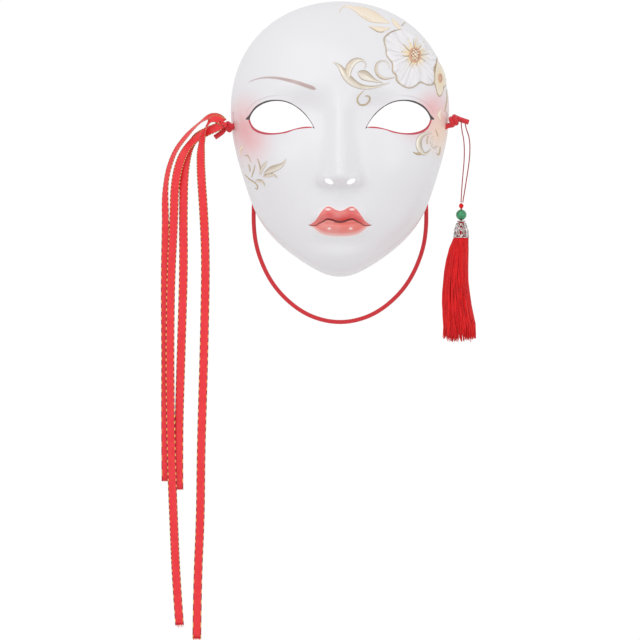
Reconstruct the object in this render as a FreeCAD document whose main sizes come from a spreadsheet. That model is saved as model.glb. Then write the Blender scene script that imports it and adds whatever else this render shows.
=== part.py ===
import FreeCAD, Part
import math
import os

# Full-face masquerade mask with raised gold relief, a round elastic strap,
# four ribbon tails on the wearer's right and a beaded tassel on the left.
# Frame: +Z up, the face looks along -Y, +X is the viewer's right.
# The origin is halfway between the two temple slots, on the line through them.

doc = FreeCAD.newDocument("masquerade_mask")
sheet = doc.addObject("Spreadsheet::Sheet", "sizes")

SIZES = [
    # The shell: a vaulted egg shape that ends in a short straight wall.
    ("mid_height", -10.3),        # height of the middle of the outline
    ("half_height", 110.3),       # half the mask's height
    ("half_width", 85.5),         # half width at the middle of the outline
    ("egg_taper", 19.0),          # how much wider the brow is than the middle
    ("jaw_swell", 5.5),           # keeps the cheeks full towards the chin
    ("chin_taper", 8.0),          # draws the chin in to a soft point
    ("vault_depth", 57.0),        # from the widest section to the middle of the face
    ("widest_back", 14.0),        # the widest section lies this far behind the slots
    ("wall", 2.0),                # shell thickness
    ("rim_back_temple", 20.0),    # the rim behind the slots, at temple height
    ("rim_back_ends", 15.0),      # and at the crown and the chin
    # Features of the face, each a height in front of the vault.
    ("forehead", 7.5),
    ("brow_ridge", 2.6),
    ("eye_socket", 7.5),
    ("eyelid", 5.5),
    ("cheek", 6.5),
    ("nose_root", 2.5),
    ("nose_rise", 13.0),
    ("nose_tip", 4.4),
    ("nose_wing", 5.6),
    ("muzzle", 7.5),
    ("philtrum", 1.1),
    ("upper_lip", 2.9),
    ("lower_lip", 3.9),
    ("mouth_groove", 1.7),
    ("chin_dip", 2.6),
    ("chin_boss", 7.0),
    # Openings in the shell.
    ("eye_inner", 21.3),          # inner corner, from the middle line
    ("eye_outer", 72.0),          # outer corner
    ("eye_rise", 19.4),           # top of the upper lid
    ("eye_drop", 6.0),            # bottom of the lower lid
    ("nostril_apart", 8.8),
    ("nostril_height", -44.7),
    ("nostril_long", 3.7),
    ("nostril_short", 1.9),
    ("nostril_tilt", 25.0),
    ("slot_clearance", 0.3),      # around the strap, in the temple slot
    ("slot_above", 9.5),          # how far the slot runs above the strap
    # Relief on the face.
    ("glue_line", 0.1),           # between the shell and a relief
    ("relief_height", 0.6),
    ("flower_height", 0.9),
    ("centre_height", 1.1),
    # Strap, knots and tails.
    ("strap_dia", 3.4),
    ("fit_gap", 0.3),             # between pieces that move on each other
    ("knot_radius", 4.8),
    ("tail_length", 8.0),
    ("left_tail_droop", 33.0),
    ("left_knot_lift", -1.0),      # the knots sit a little off the slots' axis
    ("right_knot_lift", 2.0),
    ("right_tail_lift", 3.0),
    # Ribbons.
    ("ribbon_width", 6.6),
    ("ribbon_thick", 0.3),
    ("ribbon_pitch", 0.6),        # from one ribbon's layer to the next
    ("hitch_radius", 2.5),
    # Tassel.
    ("tassel_out", 6.688),        # from the right knot to the tassel's axis
    ("loop_dia", 0.9),
    ("stopper_radius", 2.3),
    ("stopper_height", -64.2),
    ("bead_radius", 4.3),
    ("bead_hole", 1.0),
    ("core_radius", 0.8),
    ("cap_top_radius", 2.7),
    ("cap_foot_radius", 5.5),
    ("cap_height", 13.7),
    ("cap_wall", 0.5),
    ("skirt_foot_radius", 12.8),
    ("skirt_length", 81.0),
    ("binding_drop", 3.6),
    ("binding_thick", 0.7),
]
for row, (alias, value) in enumerate(SIZES, start=1):
    sheet.set("A%d" % row, alias)
    sheet.set("B%d" % row, str(value))
    sheet.setAlias("B%d" % row, alias)
doc.recompute()


def size(alias):
    return float(sheet.get(alias))


def vector(x, y, z):
    return FreeCAD.Vector(x, y, z)


def new_piece(kind, label):
    piece = doc.addObject(kind, label)
    piece.Label = label
    return piece


def bind(piece, **formulas):
    for name, formula in formulas.items():
        piece.setExpression(name.replace("__", "."), formula)


# ---------------------------------------------------------------- the face
# Places on the face are given for its drawn size, and stretch with the outline.

DRAWN_MID_HEIGHT = -10.3
DRAWN_HALF_HEIGHT = 110.3
DRAWN_HALF_WIDTH = 85.5
STRETCH_ACROSS = size("half_width") / DRAWN_HALF_WIDTH
STRETCH_UP = size("half_height") / DRAWN_HALF_HEIGHT


def on_mask(x, z):
    """Where a place of the drawn face lies on this one."""
    return x * STRETCH_ACROSS, (z - DRAWN_MID_HEIGHT) * STRETCH_UP + size("mid_height")


def as_drawn(x, z):
    return x / STRETCH_ACROSS, (z - size("mid_height")) / STRETCH_UP + DRAWN_MID_HEIGHT


def hill(x, z, centre_x, centre_z, spread_x, spread_z):
    return math.exp(-((x - centre_x) / spread_x) ** 2 - ((z - centre_z) / spread_z) ** 2)


def ease(amount):
    amount = max(0.0, min(1.0, amount))
    return amount * amount * (3.0 - 2.0 * amount)


def nose(x, z):
    side = abs(x)
    rise = ease((32.0 - z) / 72.0)
    underside = 1.0 - ease((-z - 41.5) / 10.5)
    ridge = (size("nose_root") + size("nose_rise") * rise) * underside * ease((38.0 - z) / 26.0)
    spread = 9.0 + 4.0 * ease((10.0 - z) / 44.0)
    height = ridge * math.exp(-(x / spread) ** 2)
    height += size("nose_tip") * hill(x, z, 0, -38.0, 10.0, 8.5)
    height += size("nose_wing") * hill(side, z, 11.5, -42.5, 6.4, 6.6)
    return height


def mouth(x, z):
    side = abs(x)
    line = -76.3 + 0.9 * math.exp(-((side - 9.5) / 4.5) ** 2)
    line -= 0.35 * math.exp(-(x / 3.0) ** 2) + 0.004 * side * side
    upper = math.exp(-((z - line - 4.9) / 3.8) ** 2) * (1.0 - ease((side - 15.0) / 11.0))
    lower = math.exp(-((z - line + 5.6) / 4.6) ** 2) * (1.0 - ease((side - 11.0) / 12.0))
    groove = math.exp(-((z - line) / 1.7) ** 2) * (1.0 - ease((side - 19.0) / 7.0))
    height = size("muzzle") * hill(x, z, 0, -74.0, 30.0, 24.0)
    height -= size("philtrum") * hill(x, z, 0, -58.0, 2.8, 7.0)
    height += size("upper_lip") * upper * (1.0 - 0.22 * math.exp(-(x / 3.2) ** 2))
    height += size("lower_lip") * lower
    height -= size("mouth_groove") * groove
    height -= size("chin_dip") * hill(x, z, 0, -94.5, 20.0, 5.5)
    height += size("chin_boss") * hill(x, z, 0, -105.0, 24.0, 13.0)
    return height


def features(x, z):
    side = abs(x)
    height = size("forehead") * hill(x, z, 0, 50.0, 55.0, 34.0)
    height += size("brow_ridge") * hill(side, z, 36.0, 30.0, 24.0, 10.0)
    height -= size("eye_socket") * hill(side, z, 30.0, 12.0, 20.0, 15.0)
    height += size("eyelid") * hill(side, z, 48.0, 5.0, 22.0, 14.0)
    height += size("cheek") * hill(side, z, 46.0, -34.0, 25.0, 25.0)
    return height + nose(x, z) + mouth(x, z)


def outline_width(level):
    width = size("half_width") + size("egg_taper") * level
    width += size("jaw_swell") * math.exp(-((level + 0.65) / 0.25) ** 2)
    return width - size("chin_taper") * math.exp(-((level + 1.0) / 0.15) ** 2)


def face_point(across, upward):
    """A point of the outer face; the widest section is where the two make a circle of 1."""
    reach = math.hypot(across, upward)
    swing = reach * math.pi / 2.0
    radius = math.sin(min(swing, math.pi / 2.0))
    share = radius / reach if reach > 1e-9 else math.pi / 2.0
    level = upward * share
    x = across * share * outline_width(level)
    z = size("mid_height") + size("half_height") * level
    y = size("widest_back")
    if reach < 1.0:
        y -= size("vault_depth") * math.cos(swing) ** 0.9
    else:
        y += size("vault_depth") * (swing - math.pi / 2.0)
    return vector(x, y - features(*as_drawn(x, z)) * (1.0 - ease((reach - 0.80) / 0.20)), z)


def face_normal(across, upward):
    step = 0.002
    along = face_point(across + step, upward) - face_point(across - step, upward)
    up = face_point(across, upward + step) - face_point(across, upward - step)
    return up.cross(along).normalize() * -1.0


REACH = 1.16
COLUMNS = 61
ROWS = 89


def grid_stops(count):
    """Stops from -REACH to REACH that lie closer together in the middle."""
    steps = [2.0 * number / (count - 1) - 1.0 for number in range(count)]
    return [REACH * (0.72 * step + 0.28 * step ** 3) for step in steps]


GRID = [[(across, upward) for across in grid_stops(COLUMNS)] for upward in grid_stops(ROWS)]
FACE_POINTS = [[face_point(*spot) for spot in line] for line in GRID]
FACE_NORMALS = [[face_normal(*spot) for spot in line] for line in GRID]


def lifted_face(lift):
    """The face as one smooth surface, moved out along its normals (in, below 0)."""
    points = [
        [point + normal * lift for point, normal in zip(line, normals)]
        for line, normals in zip(FACE_POINTS, FACE_NORMALS)
    ]
    surface = Part.BSplineSurface()
    surface.interpolate(points)
    return surface


def layer(inner_lift, outer_lift):
    """A closed solid between two lifted faces."""
    inner = lifted_face(inner_lift)
    outer = lifted_face(outer_lift)
    sides = []
    for side in ("u_first", "u_last", "v_first", "v_last"):
        curves = []
        for surface in (inner, outer):
            bounds = surface.bounds()
            if side == "u_first":
                curves.append(surface.uIso(bounds[0]))
            elif side == "u_last":
                curves.append(surface.uIso(bounds[1]))
            elif side == "v_first":
                curves.append(surface.vIso(bounds[2]))
            else:
                curves.append(surface.vIso(bounds[3]))
        sides.append(Part.makeRuledSurface(curves[0].toShape(), curves[1].toShape()))
    faces = [inner.toShape(), outer.toShape()] + sides
    shell = Part.makeShell(faces)
    shell.sewShape()
    solid = Part.makeSolid(shell)
    if solid.Volume < 0:
        solid.reverse()
    return solid


BEHIND = 150.0                    # past the back of everything that is cut
AHEAD = -130.0                    # in front of the whole face


def through(outline):
    """A prism along Y, from in front of the face to the shell's widest section."""
    face = Part.Face(Part.Wire(outline))
    return face.extrude(vector(0, size("widest_back") - AHEAD, 0))


def at_front(spots):
    """Places of the drawn face, in the plane that every outline lies in."""
    places = [on_mask(x, z) for x, z in spots]
    return [vector(x, AHEAD, z) for x, z in places]


def closed_curve(spots):
    curve = Part.BSplineCurve()
    curve.interpolate(Points=at_front(spots), PeriodicFlag=True)
    return [curve.toShape()]


def two_curves(upper, lower):
    """A closed outline from two curves that meet at sharp corners."""
    edges = []
    for spots in (upper, lower):
        curve = Part.BSplineCurve()
        curve.interpolate(Points=at_front(spots))
        edges.append(curve.toShape())
    return edges


def stroke(spots, widths):
    """The outline of a brush stroke that swells and thins along its middle line."""
    left = []
    right = []
    for number, (x, z) in enumerate(spots):
        ahead = spots[min(number + 1, len(spots) - 1)]
        back = spots[max(number - 1, 0)]
        run = math.hypot(ahead[0] - back[0], ahead[1] - back[1])
        side_x = -(ahead[1] - back[1]) / run * widths[number] / 2.0
        side_z = (ahead[0] - back[0]) / run * widths[number] / 2.0
        left.append((x + side_x, z + side_z))
        right.append((x - side_x, z - side_z))
    edges = two_curves(left, right)
    for one, other in ((left[0], right[0]), (left[-1], right[-1])):
        edges.append(Part.makeLine(*at_front((one, other))))
    return Part.__sortEdges__(edges)


def ellipse(centre_x, centre_z, half_x, half_z, tilt=0.0):
    spots = []
    for step in range(12):
        angle = math.radians(30.0 * step)
        x = half_x * math.cos(angle)
        z = half_z * math.sin(angle)
        lean = math.radians(tilt)
        spots.append((centre_x + x * math.cos(lean) - z * math.sin(lean),
                      centre_z + x * math.sin(lean) + z * math.cos(lean)))
    return closed_curve(spots)


def eye_outline(mirror):
    inner = size("eye_inner")
    outer = size("eye_outer")
    rise = size("eye_rise")
    drop = size("eye_drop")
    upper = [(0.0, -1.2), (0.16, 0.52 * rise), (0.43, 0.96 * rise), (0.71, 0.97 * rise),
             (0.91, 0.69 * rise), (1.0, 0.3 * rise)]
    lower = [(1.0, 0.3 * rise), (0.92, -0.33 * drop), (0.72, -0.95 * drop),
             (0.47, -0.85 * drop), (0.24, -0.31 * drop), (0.0, -1.2)]
    span = outer - inner
    curves = [[(mirror * (inner + share * span), z) for share, z in line] for line in (upper, lower)]
    return two_curves(*curves)


RIM_LENGTHS = 10                  # short edges, so that the shell's volume comes out exact


def make_shell():
    blank = layer(-size("wall"), 0.0)
    temple = size("rim_back_temple")
    ends = size("rim_back_ends")
    crown = size("mid_height") + size("half_height") + 5.0
    chin = size("mid_height") - size("half_height") - 5.0
    whole = Part.Arc(vector(-200, ends, crown), vector(-200, temple, 0), vector(-200, ends, chin))
    rim = whole.toShape().Curve
    first, last = whole.toShape().ParameterRange
    stops = [first + (last - first) * step / RIM_LENGTHS for step in range(RIM_LENGTHS + 1)]
    edges = []
    for one, other in zip(stops, stops[1:]):
        middle = rim.value((one + other) / 2.0)
        edges.append(Part.Arc(rim.value(one), middle, rim.value(other)).toShape())
    corners = [(ends, chin), (ends, chin - 50), (BEHIND, chin - 50), (BEHIND, crown + 50),
               (ends, crown + 50), (ends, crown)]
    for one, other in zip(corners, corners[1:]):
        edges.append(Part.makeLine(vector(-200, *one), vector(-200, *other)))
    behind_rim = Part.Face(Part.Wire(edges)).extrude(vector(400, 0, 0))
    cutters = [behind_rim]
    for mirror in (-1, 1):
        cutters.append(through(eye_outline(mirror)))
        nostril = ellipse(mirror * size("nostril_apart"), size("nostril_height"),
                          size("nostril_long"), size("nostril_short"),
                          mirror * size("nostril_tilt"))
        cutters.append(through(nostril))
    return blank.cut(cutters)


shell_blank = new_piece("Part::Feature", "shell_blank")
shell_blank.Shape = make_shell()

slot_bar = new_piece("Part::Box", "slot_bar")
bind(slot_bar, Length="2 * sizes.half_width + 40",
     Width="sizes.strap_dia + 2 * sizes.slot_clearance",
     Height="sizes.strap_dia + sizes.slot_clearance + sizes.slot_above",
     Placement__Base__x="-sizes.half_width - 20",
     Placement__Base__y="-sizes.strap_dia / 2 - sizes.slot_clearance",
     Placement__Base__z="-sizes.strap_dia / 2 - sizes.slot_clearance")

mask_shell = new_piece("Part::Cut", "mask_shell")
mask_shell.Base = shell_blank
mask_shell.Tool = slot_bar
doc.recompute()


# ------------------------------------------------------------- gold relief

RELIEF_SKIN = layer(size("glue_line"), size("glue_line") + size("relief_height"))
FLOWER_SKIN = layer(size("glue_line"), size("glue_line") + size("flower_height"))


def add_relief(label, outlines, skin=RELIEF_SKIN, without=None):
    """One raised shape: the skin inside all of its outlines together."""
    prism = through(outlines[0])
    for outline in outlines[1:]:
        prism = prism.fuse(through(outline))
    if without is not None:
        prism = prism.cut(through(without))
    piece = new_piece("Part::Feature", label)
    piece.Shape = prism.common(skin)
    return piece


BIG_FLOWER = [(48, 76.2), (41.5, 75), (36, 70.4), (36.4, 62), (37.6, 55.4), (41.6, 50),
              (42.6, 43), (45.6, 36.4), (51, 31.6), (57, 31), (62.6, 34), (69, 33.6),
              (74.4, 35.4), (75, 44), (76, 52), (72.6, 60), (66.4, 67), (57.4, 73.6)]
SMALL_FLOWER = [(77.6, 51), (80.4, 48.6), (82.4, 44), (83, 37), (82.2, 30), (79.6, 25.4),
                (77.2, 28), (76.4, 35), (76.6, 44)]

add_relief("crown_leaf", [closed_curve([
    (0.2, 92.8), (6, 94.9), (14, 94.9), (22, 93), (29, 90.2), (34.4, 86.6), (39.6, 82.4),
    (32.5, 83), (26, 83.4), (19.7, 86), (13.6, 90), (7, 92.4)])])
add_relief("crown_side_leaf", [closed_curve([
    (23.4, 79.2), (30, 79.4), (39.6, 78.2), (35.4, 75.2), (30.4, 74.9)])])
add_relief("flower_bud", [closed_curve([
    (41.7, 85.5), (45.3, 83.4), (48.6, 80.4), (48.4, 77.8), (44.8, 79), (42.2, 81.8)])])
add_relief("brow_scroll", [
    stroke([(-5, 50), (0, 43), (5, 36.5), (12, 31.6), (20.5, 29.9), (30, 31.2), (38.5, 33.8)],
           [0.8, 4.0, 6.2, 4.5, 3.0, 2.0, 0.8]),
    stroke([(4.5, 41), (8, 47.5), (12, 51.6), (17, 52), (20.3, 49.3), (19.2, 45.6)],
           [4.0, 4.5, 4.0, 2.5, 1.0, 0.7])])
add_relief("teardrop_leaf", [closed_curve([
    (14.8, 40.5), (17, 43.8), (21, 45), (25, 43), (26.8, 39.5), (29.5, 36.6), (33.2, 35.4),
    (28, 35), (22, 35), (17, 37)])])
add_relief("brow_curl", [
    stroke([(42.2, 39.2), (36.5, 37.6), (31.2, 39.8), (28.6, 45), (30.2, 50.2), (35, 51.7),
            (38.4, 49.4), (38.4, 46.2)], [0.8, 1.8, 2.4, 2.2, 1.6, 1.2, 1.0, 0.7])])
add_relief("root_curl", [
    stroke([(19.1, 27), (15, 23.6), (13.8, 19), (17.4, 16.4), (21.8, 18), (23.6, 21.6),
            (21.4, 23.4), (19.2, 22)], [0.7, 1.0, 1.2, 1.2, 1.1, 1.0, 0.9, 0.7])])
add_relief("large_flower", [closed_curve(BIG_FLOWER)], FLOWER_SKIN,
           ellipse(60.2, 56.2, 4.8, 6.3))
add_relief("large_flower_centre", [ellipse(60.2, 56.2, 4.5, 6.0)],
           layer(size("glue_line"), size("glue_line") + size("centre_height")))
add_relief("small_flower", [closed_curve(SMALL_FLOWER)], FLOWER_SKIN,
           ellipse(80.0, 38.6, 1.8, 4.2))
add_relief("small_flower_centre", [ellipse(80.0, 38.6, 1.5, 3.9)],
           layer(size("glue_line"), size("glue_line") + size("centre_height")))
add_relief("temple_scroll", [
    stroke([(72.8, -6.2), (67.2, -7), (63.6, -11), (62.6, -16), (64.4, -21), (68.4, -22.4),
            (71.6, -19.6)], [0.8, 2.0, 2.8, 3.0, 2.6, 2.0, 0.8])])
add_relief("temple_curl", [
    stroke([(74.6, -8.4), (73.4, -12), (74.2, -15.6), (77, -17.6)], [1.2, 1.6, 1.6, 0.8]),
    stroke([(78.8, 12.4), (79.6, 8.6), (79, 4.4)], [0.8, 2.2, 0.8])])
add_relief("cheek_leaf", [
    closed_curve([(-60.6, -39), (-57.7, -34.4), (-51, -31.4), (-43.2, -27.8), (-45.2, -33),
                  (-50, -36.2), (-56, -37.2)]),
    closed_curve([(-60.4, -40), (-55, -38.9), (-51, -40.4), (-54.6, -42), (-58, -41.6)])])
add_relief("cheek_sprig", [
    stroke([(-63.6, -38.6), (-62, -33), (-58.8, -28.8)], [1.0, 2.4, 1.0]),
    closed_curve([(-67, -43), (-63.5, -42.6), (-61.4, -44.6), (-64.5, -46)]),
    stroke([(-65.4, -26.6), (-65.2, -31.6), (-66.6, -37.6)], [0.7, 1.4, 0.9])])
add_relief("cheek_fan", [
    stroke([(-72.8, -29.4), (-71.6, -34.2), (-70.4, -39.6)], [0.9, 1.8, 1.0]),
    stroke([(-74.6, -34.4), (-73.6, -39.4), (-70, -44)], [0.7, 1.2, 0.9])])


# ------------------------------------------------------- cords and ribbons

def rounded_path(route):
    """Straight runs joined by tangent arcs, each as large as its two runs allow."""
    spots = [vector(*spot) for spot in route]
    edges = []
    start = spots[0]
    for before, corner, after in zip(spots, spots[1:], spots[2:]):
        into = (corner - before).normalize()
        out = (after - corner).normalize()
        half_turn = into.getAngle(out) / 2.0
        reach = 0.45 * min((corner - before).Length, (after - corner).Length)
        radius = reach / math.tan(half_turn)
        centre = corner + (out - into).normalize() * (radius / math.cos(half_turn))
        middle = centre + (corner - centre).normalize() * radius
        first = corner - into * reach
        last = corner + out * reach
        edges.append(Part.LineSegment(start, first).toShape())
        edges.append(Part.Arc(first, middle, last).toShape())
        start = last
    edges.append(Part.LineSegment(start, spots[-1]).toShape())
    return Part.Wire(edges)


def check_volume(label, solid, section, length):
    if abs(solid.Volume / (section * length) - 1.0) > 0.02:
        raise RuntimeError("%s is not its section times its length" % label)


def add_cord(label, route, diameter):
    path = rounded_path(route)
    heading = vector(*route[1]) - vector(*route[0])
    profile = Part.Wire(Part.makeCircle(diameter / 2.0, vector(*route[0]), heading))
    piece = new_piece("Part::Feature", label)
    piece.Shape = path.makePipeShell([profile], True, True)
    check_volume(label, piece.Shape, math.pi * diameter ** 2 / 4.0, path.Length)
    radii = [edge.Curve.Radius for edge in path.Edges if hasattr(edge.Curve, "Radius")]
    print("%s: length %.0f mm, tightest bend %.1f mm" % (label, path.Length, min(radii)))
    return piece


def add_ribbon(label, route, layer_y):
    """A flat ribbon that lies in one plane, facing forwards."""
    width = size("ribbon_width")
    thick = size("ribbon_thick")
    path = rounded_path([(x, layer_y, z) for x, z in route])
    start = vector(route[0][0], layer_y, route[0][1])
    ahead = (vector(route[1][0], layer_y, route[1][1]) - start).normalize()
    side = ahead.cross(vector(0, 1, 0)) * (width / 2.0)
    front = vector(0, -thick / 2.0, 0)
    corners = [start + side + front, start - side + front, start - side - front,
               start + side - front]
    sweep = Part.BRepOffsetAPI.MakePipeShell(path)
    sweep.setBiNormalMode(vector(0, 1, 0))
    sweep.add(Part.makePolygon(corners + corners[:1]))
    sweep.build()
    sweep.makeSolid()
    piece = new_piece("Part::Feature", label)
    piece.Shape = sweep.shape()
    check_volume(label, piece.Shape, width * thick, path.Length)
    radii = [edge.Curve.Radius for edge in path.Edges if hasattr(edge.Curve, "Radius")]
    print("%s: length %.0f mm, tightest bend %.1f mm" % (label, path.Length, min(radii)))
    return piece


def outer_wall(y, z):
    """How far from the middle the shell's outer wall is, on the viewer's right."""
    ray = Part.makeLine(vector(40, y, z), vector(140, y, z))
    return shell_blank.Shape.common(ray).BoundBox.XMax


# The knots' flat seats clear the slanting wall, and the strap ends just inside them.
KNOT_SEAT = outer_wall(size("knot_radius") / 2.0, size("knot_radius")) + size("fit_gap")
KNOT_CENTRE = KNOT_SEAT + 0.83 * size("knot_radius")
TOUCH = 0.1                       # two faces that meet across a joint

STRAP_BENDS = [(66.5, 0, 0), (67, 12, -20), (67.8, 21, -44), (69.8, 24.5, -76),
               (66.5, 26, -101), (54, 26.5, -128), (33, 26.5, -148), (11, 26.5, -156.8)]
STRAP_HALF = [(KNOT_SEAT - TOUCH, 0, 0)]
STRAP_HALF += [(x * STRETCH_ACROSS, y, z * STRETCH_UP) for x, y, z in STRAP_BENDS]
STRAP_ROUTE = [(-x, y, z) for x, y, z in STRAP_HALF] + STRAP_HALF[::-1]
add_cord("strap_cord", STRAP_ROUTE, size("strap_dia"))


def add_knot(label, side, lift_name):
    """A tied knot: a ball with a flat seat beside the slot, for the strap's end."""
    ball = new_piece("Part::Sphere", label + "_ball")
    bind(ball, Radius="sizes.knot_radius", Placement__Base__z="sizes." + lift_name)
    ball.Placement.Base.x = side * KNOT_CENTRE
    seat = new_piece("Part::Box", label + "_seat")
    bind(seat, Length="2 * sizes.knot_radius", Width="4 * sizes.knot_radius",
         Height="4 * sizes.knot_radius", Placement__Base__y="-2 * sizes.knot_radius",
         Placement__Base__z="-2 * sizes.knot_radius")
    seat.Placement.Base.x = min(side * KNOT_SEAT, side * (KNOT_SEAT - 2 * size("knot_radius")))
    knot = new_piece("Part::Cut", label)
    knot.Base = ball
    knot.Tool = seat
    return knot


def add_tail(label, knot, start, heading):
    """A cut end of the strap that leaves its knot, starting on the knot's skin."""
    rod = new_piece("Part::Cylinder", label + "_rod")
    bind(rod, Radius="sizes.strap_dia / 2")
    rod.Height = size("tail_length") + size("knot_radius")
    rod.Placement = FreeCAD.Placement(start, FreeCAD.Rotation(vector(0, 0, 1), heading))
    tail = new_piece("Part::Cut", label)
    tail.Base = rod
    tail.Tool = knot
    return tail


left_knot = add_knot("left_strap_knot", -1, "left_knot_lift")
right_knot = add_knot("right_strap_knot", 1, "right_knot_lift")
droop = math.radians(size("left_tail_droop"))
add_tail("left_strap_tail", left_knot, vector(-KNOT_CENTRE, 0, size("left_knot_lift") - 1.0),
         vector(-math.cos(droop), 0, -math.sin(droop)))
add_tail("right_strap_tail", right_knot, vector(KNOT_CENTRE, 0, size("right_tail_lift")),
         vector(1, 0, 0))

# The ribbons hang from a small hitch in front of the left knot, one behind the other.
HITCH = (-KNOT_CENTRE - 2.6, -size("knot_radius") - 2.0, 1.5)
hitch = new_piece("Part::Sphere", "ribbon_hitch")
bind(hitch, Radius="sizes.hitch_radius")
hitch.Placement.Base = vector(*HITCH)

# Each route across and down from the hitch.
RIBBONS = {
    "ribbon_rear_short": [
        (-2.2, 2.3), (-7.1, 8.9), (-18.1, 2.5), (-30.1, -9.1), (-40.7, -23.5), (-47.5, -47.5),
        (-46.5, -83.5), (-47.1, -133.5), (-46.5, -185.5), (-46.9, -235.5), (-46.3, -285.5)],
    "ribbon_middle_short": [
        (-2.9, -1.1), (-15.1, -5.7), (-26.7, -14.5), (-31.7, -35.5), (-32.5, -71.5),
        (-32.1, -113.5), (-33.5, -161.5), (-34.9, -207.5), (-36.1, -251.5), (-35.9, -292.3)],
    "ribbon_long_inner": [
        (-3.0, 1.6), (-11.5, 3.1), (-16.5, -6.9), (-18.7, -27.5), (-16.3, -65.5), (-14.5, -107.5),
        (-15.3, -157.5), (-16.7, -211.5), (-18.3, -263.5), (-18.7, -315.5), (-21.1, -365.5),
        (-21.6, -411.5)],
    "ribbon_long_front": [
        (-2.8, -0.7), (-16.1, -6.5), (-31.1, -19.1), (-39.1, -42.5), (-40.1, -79.5),
        (-42.3, -119.5), (-43.1, -171.5), (-42.9, -223.5), (-41.7, -277.5), (-39.7, -327.5),
        (-38.1, -363.5), (-35.4, -400.5)],
}
for order, (label, route) in enumerate(RIBBONS.items()):
    layer_y = HITCH[1] + (1.5 - order) * size("ribbon_pitch")
    add_ribbon(label, [(HITCH[0] + across, HITCH[2] + up) for across, up in route], layer_y)


# ------------------------------------------------------------------ tassel

TASSEL_AXIS = KNOT_CENTRE + size("tassel_out")
axis_row = len(SIZES) + 1
sheet.set("A%d" % axis_row, "tassel_axis")
sheet.set("B%d" % axis_row, str(TASSEL_AXIS))
sheet.setAlias("B%d" % axis_row, "tassel_axis")
doc.recompute()

# Out from the axis, towards the back, and up as a share of the way from stopper to tail.
LOOP_BENDS = [(-0.2, -0.7, 0.043), (0.5, -1.1, 0.256), (2.6, -1.8, 0.568), (2.3, -2.4, 0.777),
              (0.4, -2.9, 0.903), (-0.4, -2.9, 1.046), (2.8, 2.9, 1.049), (3.6, 2.9, 0.933),
              (6.9, 2.4, 0.807), (7, 1.9, 0.598), (4.4, 1.3, 0.33), (1.2, 0.7, 0.043)]
TAIL_ABOVE = size("right_tail_lift") - size("stopper_height")
LOOP_ROUTE = [(TASSEL_AXIS + out, back, size("stopper_height") + share * TAIL_ABOVE)
              for out, back, share in LOOP_BENDS]
add_cord("tassel_loop_cord", LOOP_ROUTE, size("loop_dia"))


def on_axis(piece, height):
    bind(piece, Placement__Base__x="sizes.tassel_axis", Placement__Base__z=height)
    return piece


def add_cone(label, top_radius, foot_radius, length, top_height):
    """A cone that stands on the tassel's axis, given from its top down."""
    cone = on_axis(new_piece("Part::Cone", label), "%s - (%s)" % (top_height, length))
    bind(cone, Radius1=foot_radius, Radius2=top_radius, Height=length)
    return cone


def add_cut(label, base, tool):
    piece = new_piece("Part::Cut", label)
    piece.Base = base
    piece.Tool = tool
    return piece


stopper = on_axis(new_piece("Part::Sphere", "tassel_stopper_knot"), "sizes.stopper_height")
bind(stopper, Radius="sizes.stopper_radius")

BEAD_HEIGHT = "(sizes.stopper_height - sizes.stopper_radius - sizes.bead_radius - 0.2)"
CAP_TOP = "(%s - sizes.bead_radius - 0.4)" % BEAD_HEIGHT
HEAD_TOP = "(%s - 0.5)" % CAP_TOP
SKIRT_TOP = "(%s - sizes.cap_height)" % CAP_TOP
CAP_INSIDE = "(sizes.cap_wall + 0.15)"

bead_ball = on_axis(new_piece("Part::Sphere", "bead_ball"), BEAD_HEIGHT)
bind(bead_ball, Radius="sizes.bead_radius")
bead_bore = on_axis(new_piece("Part::Cylinder", "bead_bore"),
                    BEAD_HEIGHT + " - 2 * sizes.bead_radius")
bind(bead_bore, Radius="sizes.bead_hole", Height="4 * sizes.bead_radius")
add_cut("green_bead", bead_ball, bead_bore)

core_rod = on_axis(new_piece("Part::Cylinder", "core_rod"), HEAD_TOP)
bind(core_rod, Radius="sizes.core_radius", Height="sizes.stopper_height - " + HEAD_TOP)
add_cut("tassel_core_cord", core_rod, stopper)

cap_outside = add_cone("cap_outside", "sizes.cap_top_radius", "sizes.cap_foot_radius",
                       "sizes.cap_height", CAP_TOP)
cap_inside = add_cone("cap_inside", "sizes.cap_top_radius - sizes.cap_wall",
                      "sizes.cap_foot_radius - sizes.cap_wall", "sizes.cap_height", CAP_TOP)
cap_cone = add_cut("cap_cone", cap_outside, cap_inside)

PIERCINGS = 8                     # around the cap, in each of its three rows
cap_piercings = new_piece("Part::Feature", "cap_piercings")
piercing_bars = []
for row, radius in enumerate((0.75, 0.95, 1.25)):
    height = size("stopper_height") - size("stopper_radius") - 2 * size("bead_radius") - 0.6
    height -= size("cap_height") * (0.22 + 0.28 * row)
    for number in range(PIERCINGS):
        angle = 2.0 * math.pi * (number + 0.5 * row) / PIERCINGS
        heading = vector(math.cos(angle), math.sin(angle), 0)
        start = vector(TASSEL_AXIS, 0, height)
        piercing_bars.append(Part.makeCylinder(radius, 2 * size("cap_foot_radius"), start, heading))
cap_piercings.Shape = Part.makeCompound(piercing_bars)
add_cut("filigree_cap", cap_cone, cap_piercings)

add_cone("tassel_head", "sizes.cap_top_radius - " + CAP_INSIDE,
         "sizes.cap_foot_radius - " + CAP_INSIDE, "sizes.cap_height - 0.5", HEAD_TOP)
skirt = add_cone("tassel_skirt", "sizes.cap_foot_radius - " + CAP_INSIDE,
                 "sizes.skirt_foot_radius", "sizes.skirt_length", SKIRT_TOP)
binding_ring = on_axis(new_piece("Part::Torus", "binding_ring"),
                       SKIRT_TOP + " - sizes.binding_drop")
bind(binding_ring, Radius1="sizes.cap_foot_radius", Radius2="sizes.binding_thick / 2")
add_cut("tassel_binding", binding_ring, skirt)


# ------------------------------------------------------------ check, write

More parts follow.
